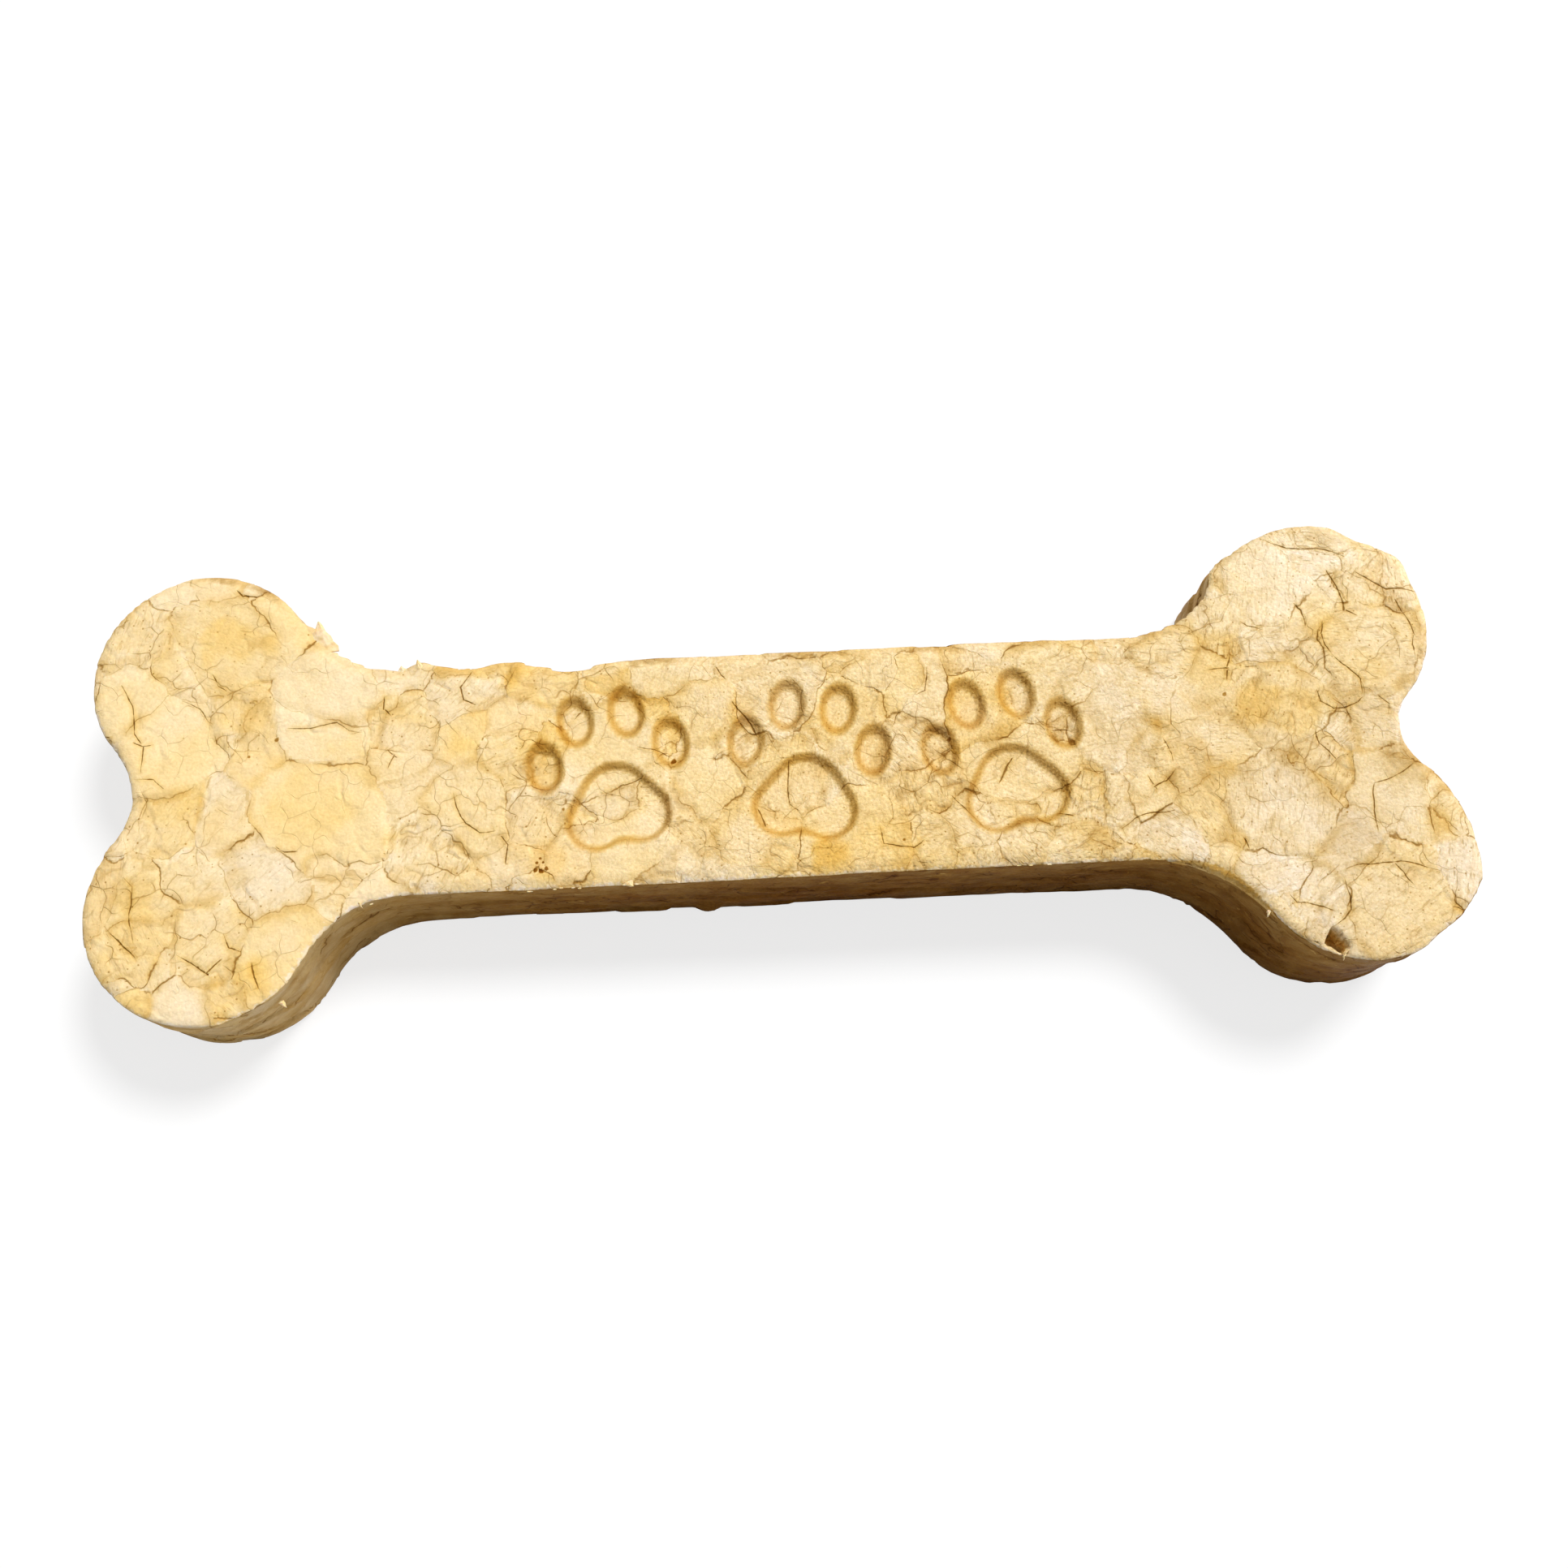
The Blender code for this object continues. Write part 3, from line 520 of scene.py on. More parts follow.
class ChewShapeSettings(bpy.types.PropertyGroup):
    """Sizes of the pressed bone."""

    shaft_half_width: FloatProperty(
        name="Shaft half width", description="Half the width of the shaft between the lobes",
        default=17.0 * MM, min=5.0 * MM, subtype="DISTANCE", unit="LENGTH")
    thickness: FloatProperty(
        name="Thickness", description="Thickness at the middle of the shaft",
        default=20.8 * MM, min=5.0 * MM, subtype="DISTANCE", unit="LENGTH")
    thickness_rise: FloatProperty(
        name="Thickness rise", description="Gain in thickness per metre towards the right end",
        default=0.015)
    upper_rim: FloatProperty(
        name="Upper rim", description="Radius of the worn rim round the upper face",
        default=0.30 * MM, min=0.0, subtype="DISTANCE", unit="LENGTH")
    under_rim: FloatProperty(
        name="Under rim", description="Radius of the rim round the under face",
        default=0.5 * MM, min=0.0, subtype="DISTANCE", unit="LENGTH")
    flake_step: FloatProperty(
        name="Flake step", description="How far a flake may lie below its neighbours",
        default=0.11 * MM, subtype="DISTANCE", unit="LENGTH")
    side_step: FloatProperty(
        name="Side step", description="How far a flake may stand out of the side",
        default=0.42 * MM, subtype="DISTANCE", unit="LENGTH")
    seam_depth: FloatProperty(
        name="Seam depth", description="Depth of the deepest seams between flakes",
        default=0.13 * MM, subtype="DISTANCE", unit="LENGTH")
    paw_depth: FloatProperty(
        name="Paw depth", description="How deep the paw prints are pressed in",
        default=1.0 * MM, subtype="DISTANCE", unit="LENGTH")
    paw_wall: FloatProperty(
        name="Paw wall", description="Width of the sloping wall round each pad of a paw print",
        default=0.9 * MM, min=0.1 * MM, subtype="DISTANCE", unit="LENGTH")
    mesh_step: FloatProperty(
        name="Mesh step", description="Spacing of the mesh underneath; the rest has half of it",
        default=1.00 * MM, min=0.4 * MM, subtype="DISTANCE", unit="LENGTH")


class ChewColourSettings(bpy.types.PropertyGroup):
    """Colours of dried collagen."""

    clear: FloatVectorProperty(
        name="Clear collagen", description="Colour of a thin, clear flake",
        default=(0.800, 0.602, 0.302), size=3, min=0.0, max=1.0, subtype="COLOR")
    milk: FloatVectorProperty(
        name="Milky collagen", description="Colour of a flake with air in it",
        default=(0.800, 0.660, 0.470), size=3, min=0.0, max=1.0, subtype="COLOR")
    amber_loss: FloatVectorProperty(
        name="Amber loss", description="How strongly amber collagen takes out red, green and blue",
        default=(0.03, 0.24, 1.0), size=3, min=0.0, max=2.0, subtype="XYZ")
    brown_loss: FloatVectorProperty(
        name="Brown loss", description="How strongly seams and cracks take out red, green and blue",
        default=(0.46, 0.63, 1.0), size=3, min=0.0, max=2.0, subtype="XYZ")
    side_loss: FloatVectorProperty(
        name="Side loss", description="How strongly the side takes out red, green and blue",
        default=(0.43, 0.60, 1.0), size=3, min=0.0, max=2.0, subtype="XYZ")
    side_depth: FloatProperty(
        name="Side depth", description="How deep the colour of the side is",
        default=3.1, min=0.0, max=8.0)
    roughness: FloatProperty(
        name="Roughness", description="Roughness of the dry surface",
        default=0.55, min=0.05, max=1.0, subtype="FACTOR")


class ChewStageSettings(bpy.types.PropertyGroup):
    """Light and floor."""

    floor_colour: FloatVectorProperty(
        name="Floor", description="Colour of the plain floor",
        default=(0.93, 0.93, 0.93), size=3, min=0.0, max=1.0, subtype="COLOR")
    key_strength: FloatProperty(
        name="Key light", description="Strength of the sun-like key light",
        default=3.6, min=0.0)
    key_azimuth: FloatProperty(
        name="Key azimuth", description="Where the key light comes from, turned from +X towards +Y",
        default=math.radians(48.0), subtype="ANGLE", unit="ROTATION")
    key_elevation: FloatProperty(
        name="Key elevation", description="How high the key light stands",
        default=math.radians(55.0), subtype="ANGLE", unit="ROTATION")
    key_size: FloatProperty(
        name="Key size", description="Angle that the key light fills, which softens its shadows",
        default=math.radians(16.0), subtype="ANGLE", unit="ROTATION")
    fill_strength: FloatProperty(
        name="Fill light", description="Strength of the low fill light",
        default=0.30, min=0.0)
    fill_azimuth: FloatProperty(
        name="Fill azimuth", description="Where the fill light comes from, turned from +X towards +Y",
        default=math.radians(-12.0), subtype="ANGLE", unit="ROTATION")
    fill_elevation: FloatProperty(
        name="Fill elevation", description="How high the fill light stands",
        default=math.radians(22.0), subtype="ANGLE", unit="ROTATION")
    fill_size: FloatProperty(
        name="Fill size", description="Angle that the fill light fills",
        default=math.radians(40.0), subtype="ANGLE", unit="ROTATION")
    sky_strength: FloatProperty(
        name="Sky", description="Strength of the even white light from all round",
        default=0.28, min=0.0)
    shadow_lift: FloatProperty(
        name="Shadow lift", description="How much of the shadow on the floor the camera doesn't see",
        default=0.75, min=0.0, max=1.0, subtype="FACTOR")


def arc(centre, radius, start, turn):
    """Points along an arc, from the angle start through the angle turn."""
    count = max(3, int(abs(turn) * radius / ARC_STEP) + 1)
    angles = start + turn * np.linspace(0.0, 1.0, count)
    return np.stack((centre[0] + radius * np.cos(angles), centre[1] + radius * np.sin(angles)), axis=1)


def angle_of(start, end):
    return math.atan2(end[1] - start[1], end[0] - start[0])


def short_turn(angle):
    return (angle + math.pi) % (2.0 * math.pi) - math.pi


def notch_centre(lobe_a, lobe_b, radius):
    """Centre of the circle outside an end that touches both its lobes."""
    ax, ay = lobe_a.end * lobe_a.x, lobe_a.side * lobe_a.y
    bx, by = lobe_b.end * lobe_b.x, lobe_b.side * lobe_b.y
    reach_a = lobe_a.radius + radius
    reach_b = lobe_b.radius + radius
    span = math.hypot(bx - ax, by - ay)
    along = (reach_a ** 2 - reach_b ** 2 + span ** 2) / (2.0 * span)
    across = math.sqrt(reach_a ** 2 - along ** 2)
    ux, uy = (bx - ax) / span, (by - ay) / span
    side = 1.0 if lobe_a.end * uy > 0.0 else -1.0
    return (ax + along * ux + side * across * uy, ay + along * uy - side * across * ux)


def quarter_outline(lobe, notch, notch_radius, half_width):
    """A quarter of the outline, from the middle of the shaft's side to the notch in the end."""
    fillet_y = half_width + lobe.fillet
    fillet_x = lobe.x - math.sqrt((lobe.radius + lobe.fillet) ** 2 - (fillet_y - lobe.y) ** 2)
    fillet = (lobe.end * fillet_x, lobe.side * fillet_y)
    centre = (lobe.end * lobe.x, lobe.side * lobe.y)
    along = np.arange(0.0, fillet_x, ARC_STEP)
    side = np.stack((lobe.end * along, np.full_like(along, lobe.side * half_width)), axis=1)
    start = -lobe.side * math.pi / 2.0
    inward = arc(fillet, lobe.fillet, start, short_turn(angle_of(fillet, centre) - start))
    start = angle_of(centre, fillet)
    turn = (angle_of(centre, notch) - start) % (2.0 * math.pi)
    if lobe.end * lobe.side > 0:
        turn -= 2.0 * math.pi
    knob = arc(centre, lobe.radius, start, turn)
    start = angle_of(notch, centre)
    middle = math.pi if lobe.end > 0 else 0.0
    hollow = arc(notch, notch_radius, start, short_turn(middle - start))
    return np.concatenate((side, inward[1:], knob[1:], hollow[1:]))


def plain_outline(half_width):
    """The closed outline, once round, as the mould has it."""
    right = notch_centre(BACK_RIGHT, FRONT_RIGHT, NOTCH_RADIUS_RIGHT)
    left = notch_centre(BACK_LEFT, FRONT_LEFT, NOTCH_RADIUS_LEFT)
    back_right = quarter_outline(BACK_RIGHT, right, NOTCH_RADIUS_RIGHT, half_width)
    front_right = quarter_outline(FRONT_RIGHT, right, NOTCH_RADIUS_RIGHT, half_width)
    front_left = quarter_outline(FRONT_LEFT, left, NOTCH_RADIUS_LEFT, half_width)
    back_left = quarter_outline(BACK_LEFT, left, NOTCH_RADIUS_LEFT, half_width)
    return np.concatenate((back_right[:-1], front_right[:0:-1], front_left[:-1], back_left[:0:-1]))


def outward_normals(outline):
    """Unit normals of a clockwise outline."""
    run = np.roll(outline, -1, axis=0) - np.roll(outline, 1, axis=0)
    run /= np.linalg.norm(run, axis=1, keepdims=True)
    return np.stack((-run[:, 1], run[:, 0]), axis=1)


def bump(distance, half_width):
    """A smooth hill that is 1 at no distance and 0 from half_width on."""
    share = np.clip(distance / half_width, 0.0, 1.0)
    return 0.5 + 0.5 * np.cos(math.pi * share)


def pressed_outline(half_width):
    """The outline with the places where the pressed flakes swell or fall short."""
    outline = plain_outline(half_width)
    reach = np.zeros(len(outline))
    for mark in EDGE_MARKS:
        distance = np.hypot(outline[:, 0] - mark.x, outline[:, 1] - mark.y)
        reach += mark.reach * bump(distance, mark.half_width)
    return outline + outward_normals(outline) * reach[:, None]


def smooth_noise(points, wave, seed):
    """Even noise between -1 and 1 whose hills are about one wave across."""
    rng = np.random.default_rng(seed)
    lattice = rng.uniform(-1.0, 1.0, (NOISE_LATTICE, NOISE_LATTICE, NOISE_LATTICE))
    place = points / wave + NOISE_SHIFT
    cell = np.floor(place).astype(int)
    share = place - cell
    share = share * share * (3.0 - 2.0 * share)
    total = np.zeros(len(points))
    for corner in range(8):
        step = np.array((corner & 1, corner >> 1 & 1, corner >> 2 & 1))
        weight = np.prod(np.where(step == 1, share, 1.0 - share), axis=1)
        x, y, z = ((cell + step) % NOISE_LATTICE).T
        total += weight * lattice[x, y, z]
    return total


def flake_space(points):
    """Stretch the height and bend the space, so that flakes lie flat and have crooked edges."""
    stretched = points * np.array((1.0, 1.0, FLATNESS))
    bent = stretched.copy()
    for axis in range(3):
        bent[:, axis] += BROAD_BEND * smooth_noise(stretched, BROAD_WAVE, 11 + axis)
        bent[:, axis] += FINE_BEND * smooth_noise(stretched, FINE_WAVE, 21 + axis)
    return bent


class Flakes:
    """All flakes of the chew: the large ones first, then random ones kept apart."""

    def __init__(self, shape):
        rng = np.random.default_rng(FLAKE_SEED)
        chosen = [(flake.x * MM, flake.y * MM, shape.thickness + shape.thickness_rise * flake.x * MM)
                  for flake in BIG_FLAKES]
        centres = list(flake_space(np.array(chosen)))
        radii = [flake.radius * MM for flake in BIG_FLAKES]
        lifts = [flake.lift / SOLID_STEP for flake in BIG_FLAKES]
        for _ in range(FLAKE_TRIES):
            centre = rng.uniform(FLAKES_FROM, FLAKES_TO)
            radius = rng.uniform(*FLAKE_RADII)
            gaps = np.linalg.norm(np.array(centres) - centre, axis=1)
            if np.all(gaps > FLAKE_CROWDING * (np.array(radii) + radius)):
                centres.append(centre)
                radii.append(radius)
                lifts.append(rng.uniform(*FLAKE_LIFTS))
        self.centres = np.array(centres)
        self.radii = np.array(radii)
        self.lifts = np.array(lifts)
        count = len(centres)
        rng = np.random.default_rng(FLAKE_SEED + 1)
        self.tilts = rng.normal(0.0, FLAKE_TILT, (count, 2))
        self.openness = rng.random((count, count)) ** 2
        self.slant = rng.uniform(-1.0, 1.0, (count, count))
        self.look(count)

    def look(self, count):
        """How much amber each flake holds, how milky it is, how busy its face is, and its grain."""
        rng = np.random.default_rng(FLAKE_SEED + 2)
        amber = rng.normal(*FLAKE_AMBER, count)
        tanned = rng.random(count) < TANNED_SHARE
        amber += np.where(tanned, rng.uniform(*TANNED_AMBER, count), 0.0)
        milk = np.clip(rng.normal(*FLAKE_MILK, count), 0.0, MOST_MILK)
        busy = np.clip(rng.normal(*FLAKE_BUSY, count), *BUSY_LIMITS)
        for index, flake in enumerate(BIG_FLAKES):
            amber[index] = flake.amber
            milk[index] = flake.milk
            busy[index] = flake.busy
        angle = rng.normal(*GRAIN_ANGLE, count)
        self.looks = np.stack((amber, milk, busy), axis=1)
        self.grain = np.stack((np.cos(angle), np.sin(angle), busy), axis=1)

    def nearest_two(self, points):
        """For each point the flake it lies in and the next one."""
        first = np.zeros(len(points), int)
        second = np.zeros(len(points), int)
        order = points[:, 0].argsort()
        for start in range(0, len(points), BLOCK):
            rows = order[start:start + BLOCK]
            block = points[rows]
            near = np.flatnonzero((self.centres[:, 0] > block[0, 0] - FLAKE_SEARCH)
                                  & (self.centres[:, 0] < block[-1, 0] + FLAKE_SEARCH))
            sites = self.centres[near]
            power = (sites ** 2).sum(axis=1) - self.radii[near] ** 2 - 2.0 * block @ sites.T
            pair = np.argpartition(power, 1, axis=1)[:, :2]
            values = np.take_along_axis(power, pair, axis=1)
            swap = values[:, 0] > values[:, 1]
            pair[swap] = pair[swap][:, ::-1]
            first[rows] = near[pair[:, 0]]
            second[rows] = near[pair[:, 1]]
        return first, second

    def seam(self, first, second):
        """The flat seam between two flakes: its normal and offset. Below the offset is the first."""
        a, b = self.centres[first], self.centres[second]
        apart = np.linalg.norm(b - a, axis=1)
        offset = (b ** 2).sum(axis=1) - (a ** 2).sum(axis=1)
        offset += self.radii[first] ** 2 - self.radii[second] ** 2
        return (b - a) / apart[:, None], offset / (2.0 * apart)

    def seam_openness(self, first, second):
        return self.openness[np.minimum(first, second), np.maximum(first, second)]

    def seam_slant(self, low, high):
        """Which of the two flakes lies over the other, and how thickly, from -1 to 1."""
        return self.slant[low, high]


def distance_to_outline(points, outline):
    """How far in plan each point is inside the outline, and the outward normal at the nearest place."""
    normals = outward_normals(outline)
    run = np.roll(outline, -1, axis=0) - outline
    length = (run ** 2).sum(axis=1)
    distance = np.zeros(len(points))
    normal = np.zeros((len(points), 2))
    order = points[:, 0].argsort()
    for start in range(0, len(points), BLOCK):
        rows = order[start:start + BLOCK]
        offset = points[rows, None, :2] - outline[None, :, :]
        share = np.clip((offset * run).sum(axis=2) / length, 0.0, 1.0)
        offset -= share[:, :, None] * run
        gap = np.linalg.norm(offset, axis=2)
        nearest = gap.argmin(axis=1)
        every = np.arange(len(gap))
        inside = -np.sign((offset[every, nearest] * normals[nearest]).sum(axis=1))
        distance[rows] = gap[every, nearest] * inside
        normal[rows] = normals[nearest]
    return distance, normal


def ellipse_distance(x, y, centre, radii):
    share = np.hypot((x - centre[0]) / radii[0], (y - centre[1]) / radii[1])
    return (share - 1.0) * min(radii)


def smooth_least(a, b, blend):
    """The lesser of two distances, with the corner between them rounded."""
    share = np.clip(0.5 + 0.5 * (b - a) / blend, 0.0, 1.0)
    return b + (a - b) * share - blend * share * (1.0 - share)


def paw_distance(x, y):
    """Distance to the outline of a paw print with its toes towards +Y, negative inside a pad."""
    pad = ellipse_distance(x, y, (0.0, PAD_HEIGHT + PAD_TOP_RISE), (PAD_TOP_RADIUS, PAD_TOP_RADIUS))
    for side in (-1.0, 1.0):
        heel = ellipse_distance(x, y, (side * PAD_SPREAD, PAD_HEIGHT - PAD_SIDE_DROP),
                                (PAD_SIDE_RADIUS, PAD_SIDE_RADIUS))
        pad = smooth_least(pad, heel, PAD_BLEND)
    for side in (-1.0, 1.0):
        outer = ellipse_distance(x, y, (side * TOE_SPREAD, TOE_HEIGHT), TOE_RADII)
        inner = ellipse_distance(x, y, (side * TOE_INNER_SPREAD, TOE_INNER_HEIGHT), TOE_RADII)
        pad = np.minimum(pad, np.minimum(outer, inner))
    return pad


def nearest_paw(points):
    """Distance to the outline of the nearest paw print, negative inside."""
    least = np.full(len(points), 1.0)
    for station, turn in zip(PAW_STATIONS, PAW_TURNS):
        x = (points[:, 0] - station) * math.cos(turn) + points[:, 1] * math.sin(turn)
        y = points[:, 1] * math.cos(turn) - (points[:, 0] - station) * math.sin(turn)
        least = np.minimum(least, paw_distance(x, y))
    return least


def paw_sink(points, shape):
    """How deep the paw prints are sunk at each point."""
    share = np.clip(0.5 - nearest_paw(points) / shape.paw_wall, 0.0, 1.0)
    return shape.paw_depth * share * share * (3.0 - 2.0 * share)


def rim_drop(distance, radius):
    """How far a rounded rim falls below the face at a distance from the edge."""
    inside = np.clip(radius - distance, 0.0, None)
    return radius - np.sqrt(np.clip(radius ** 2 - inside ** 2, 0.0, None))


def lip_share(points):
    """How far each point is on the rolled lip of the front right lobe."""
    middle = 0.5 * (LIP_FROM_X + LIP_TO_X)
    ease = LIP_EASE * (LIP_TO_X - LIP_FROM_X)
    return bump(np.abs(points[:, 0] - middle), ease) * (points[:, 1] < 0.0)


def lip_band(points, distance, thickness):
    """1 on the yellow band that the rolled lip shows, over the rim and a little way down the side."""
    share = lip_share(points)
    along = np.clip(4.0 * share, 0.0, 1.0)
    width = LIP_WIDTH * (LIP_LEAST + (1.0 - LIP_LEAST) * share)
    inward = np.clip((width - distance) / LIP_FADE, 0.0, 1.0)
    downward = np.clip((LIP_DROP - thickness + points[:, 2]) / LIP_FADE, 0.0, 1.0)
    return along * inward * downward


def upper_rim_radius(points, shape):
    """The radius of the upper rim, larger along the rolled lip of the front right lobe."""
    radius = shape.upper_rim * (1.0 + RIM_VARIATION * smooth_noise(points, RIM_WAVE, 5))
    return radius + lip_share(points) * (LIP_RADIUS - shape.upper_rim)


def nick_depth(points, thickness):
    """How deep the pit goes where a piece has broken out behind the front edge."""
    inside = np.full(len(points), NICK_WALL)
    for start, end in zip(NICK_CORNERS, NICK_CORNERS[1:] + NICK_CORNERS[:1]):
        run = np.subtract(end, start) / math.dist(start, end)
        gap = (points[:, 0] - start[0]) * run[1] - (points[:, 1] - start[1]) * run[0]
        inside = np.minimum(inside, gap)
    share = np.clip(inside / NICK_WALL, 0.0, 1.0)
    return NICK_DEPTH * share * np.clip(2.0 * points[:, 2] / thickness - 1.0, 0.0, 1.0)


def rim_flare_share(points, thickness):
    """1 at the upper rim where it flares out over the side, fading downwards and towards both ends."""
    upper = bump(thickness - points[:, 2], RIM_FLARE_HEIGHT)
    return upper * bump(np.clip(np.abs(points[:, 0]) - RIM_FLARE_TO_X, 0.0, None), RIM_FLARE_FADE)


def burr_reach(points, thickness):
    """How far torn flakes and lumps stand out of the side."""
    reach = np.zeros(len(points))
    for burr in SIDE_BURRS:
        along = np.hypot(points[:, 0] - burr.x, points[:, 1] - burr.y)
        above = np.abs(points[:, 2] - burr.level * thickness)
        reach += burr.reach * bump(along, burr.half_length) * bump(above, burr.half_height)
    return reach


def crack_space(points):
    """Bend the plan, in millimetres, so that the straight legs of a crack come out crooked."""
    flat = points * np.array((1.0, 1.0, 0.0))
    bent = flat[:, :2] / MM
    for axis in range(2):
        bent[:, axis] += CRACK_BEND * smooth_noise(flat, CRACK_WAVE, 51 + axis)
        bent[:, axis] += CRACK_RAGGED * smooth_noise(flat, CRACK_RAGGED_WAVE, 61 + axis)
    return bent


def nearest_crack(place):
    """For points in crack space: the nearest leg's normal and offset, the distance, and the half width.

    The half width tapers to nothing at both ends of a crack.
    """
    nearest = np.full(len(place), CRACKS_FAR)
    line = np.zeros((len(place), 3))
    width = np.zeros(len(place))
    for half_width, *route in CRACKS:
        corners = np.array([(x * MM, y * MM, 0.0) for x, y in route])
        corners = crack_space(corners)
        steps = np.linalg.norm(np.diff(corners, axis=0), axis=1)
        reached = np.concatenate(((0.0,), np.cumsum(steps)))
        for start, end, before, step in zip(corners[:-1], corners[1:], reached[:-1], steps):
            run = (end - start) / step
            offset = place - start
            along = np.clip(offset @ run, 0.0, step)
            gap = np.linalg.norm(offset - along[:, None] * run, axis=1)
            closer = gap < nearest
            nearest[closer] = gap[closer]
            line[closer] = (run[1], -run[0], run[1] * start[0] - run[0] * start[1])
            share = (before + along[closer]) / reached[-1]
            width[closer] = half_width * np.clip(4.0 * share * (1.0 - share), 0.0, 1.0) ** CRACK_TAPER
    return line, nearest, width


def speck_list():
    """The listed stains, then small dark specks scattered over the upper face and the sides."""
    rng = np.random.default_rng(FLAKE_SEED + 3)
    specks = list(STAINS)
    for _ in range(RANDOM_SPECKS):
        x = rng.uniform(-SPECK_FIELD[0], SPECK_FIELD[0])
        y = rng.uniform(-SPECK_FIELD[1], SPECK_FIELD[1])
        specks.append((x, y, rng.uniform(*SPECK_RADII), rng.uniform(*SPECK_DEPTHS)))
    return np.array(specks)


def press_flakes(points, facing, outline, flakes, shape):
    """Move the points of the blank to the pressed surface.

    facing is the blank's normals: +Z on the upper face, -Z on the under face, level on the side.
    Returns the pressed points and what the material needs to know at each of them.
    """
    thickness = shape.thickness + shape.thickness_rise * points[:, 0]
    shaped = points.copy()
    shaped[:, 2] *= thickness / shape.thickness
    place = flake_space(shaped)
    first, second = flakes.nearest_two(place)
    normal, offset = flakes.seam(first, second)
    seam = np.abs((normal * place).sum(axis=1) - offset)
    tilt = ((shaped[:, :2] - flakes.centres[first, :2]) * flakes.tilts[first]).sum(axis=1)
    openness = flakes.seam_openness(first, second)
    groove = shape.seam_depth * (SEAM_LEAST + openness) * bump(seam, SEAM_HALF_WIDTH)
    inward, outward = distance_to_outline(shaped, outline)
    distance = np.abs(inward)
    up = np.clip(2.0 * facing[:, 2], 0.0, 1.0)
    down = np.clip(-2.0 * facing[:, 2], 0.0, 1.0)
    side = 1.0 - np.clip(2.0 * np.abs(facing[:, 2]) - 1.0, 0.0, 1.0)
    line, gap, width = nearest_crack(crack_space(shaped))

    lift = flakes.lifts[first] * shape.flake_step
    wrinkle = WRINKLE * smooth_noise(shaped, WRINKLE_WAVE, 71)
    wrinkle += FINE_WRINKLE * smooth_noise(shaped, FINE_WRINKLE_WAVE, 72)
    level = lift + tilt - groove + wrinkle
    level += FACE_WAVE_HEIGHT * smooth_noise(shaped, FACE_WAVE, 3)
    level -= CRACK_DEPTH * (width / CRACK_FULL_WIDTH) * bump(gap, CRACK_REACH)
    upper = level - paw_sink(shaped, shape) - nick_depth(shaped, thickness)
    under = np.clip(-lift - tilt - UNDER_PRESSED, 0.0, None) + groove
    radius = upper_rim_radius(shaped, shape)
    near_top = np.clip((shaped[:, 2] - thickness + 3.0 * radius) / (3.0 * radius), 0.0, 1.0)
    near_base = np.clip(1.0 - shaped[:, 2] / (3.0 * shape.under_rim), 0.0, 1.0)
    rise = up * upper + down * under
    rise += near_base * rim_drop(distance, shape.under_rim) - near_top * rim_drop(distance, radius)

    layers = LAYER_REACH * smooth_noise(shaped * LAYER_STRETCH, LAYER_WAVE, 6)
    reach = SIDE_WAVE_REACH * smooth_noise(shaped, SIDE_WAVE, 4) - groove + layers + wrinkle
    even_rim = 1.0 - EVEN_RIM * bump(thickness - shaped[:, 2], EVEN_RIM_HEIGHT)
    reach += (flakes.lifts[first] + 0.3) * shape.side_step * even_rim
    reach += RIM_FLARE * rim_flare_share(shaped, thickness)
    reach += burr_reach(shaped, thickness)
    reach += np.clip(inward, -STRAY, STRAY)
    reach *= side * np.clip(1.0 - distance / SIDE_RELIEF, 0.0, 1.0)
    pressed = shaped.copy()
    pressed[:, :2] += outward * reach[:, None]
    pressed[:, 2] += rise

    on_edge = np.clip(1.0 - distance / SIDE_FADE, 0.0, 1.0)
    below = np.clip((thickness - shaped[:, 2]) / SIDE_FADE, 0.0, 1.0)
    facts = {
        "flake_place": place / MM,
        "crack_place": np.column_stack((crack_space(shaped), width)),
        "cut": np.maximum(side * on_edge, down) * below,
        # how deep the side's colour is, with painted shade in front and in a nook behind
        "shade": flank_shade(shaped, outward),
        "wall": paw_wall_amber_and_shade(shaped, shape) * up,
        "lip": lip_band(shaped, distance, thickness),
        "patches": np.column_stack((patch_share(shaped, AMBER_PATCHES, SHARP_FADE),
                                    patch_share(shaped, MILK_PATCHES, SOFT_FADE),
                                    patch_share(shaped, BROWN_PATCHES, SOFT_FADE))),
        "accent": width / CRACK_FULL_WIDTH * bump(gap, ACCENT_REACH),
        "nick": nick_depth(shaped, thickness) / NICK_DEPTH,
        "edge": np.column_stack((distance / MM, brown_rim_share(shaped), outward[:, 1])),
    }
    return pressed, facts


def paw_wall_amber_and_shade(points, shape):
    """1 in the middle of the sloping walls of the paw prints and 0 on flat ground, for their amber and
    painted shade.
    """
    share = np.clip(0.5 - nearest_paw(points) / (1.5 * shape.paw_wall), 0.0, 1.0)
    return 4.0 * share * (1.0 - share)


def patch_share(points, patches, fade):
    """How strong the patches are at each point. Their outlines are crooked, sharp here and soft there."""
    flat = points * np.array((1.0, 1.0, 0.0))
    place = flat[:, :2] / MM
    for axis in range(2):
        place[:, axis] += PATCH_BEND * smooth_noise(flat, PATCH_WAVE, 81 + axis)
        place[:, axis] += PATCH_RAGGED * smooth_noise(flat, PATCH_RAGGED_WAVE, 83 + axis)
    softness = fade * (1.0 + 0.7 * smooth_noise(flat, PATCH_SOFT_WAVE, 85))
    share = np.zeros(len(points))
    for x, y, radius, amount in patches:
        distance = np.hypot(place[:, 0] - x, place[:, 1] - y)
        share = np.maximum(share, amount * bump(distance - radius + softness, 2.0 * softness))
    return share


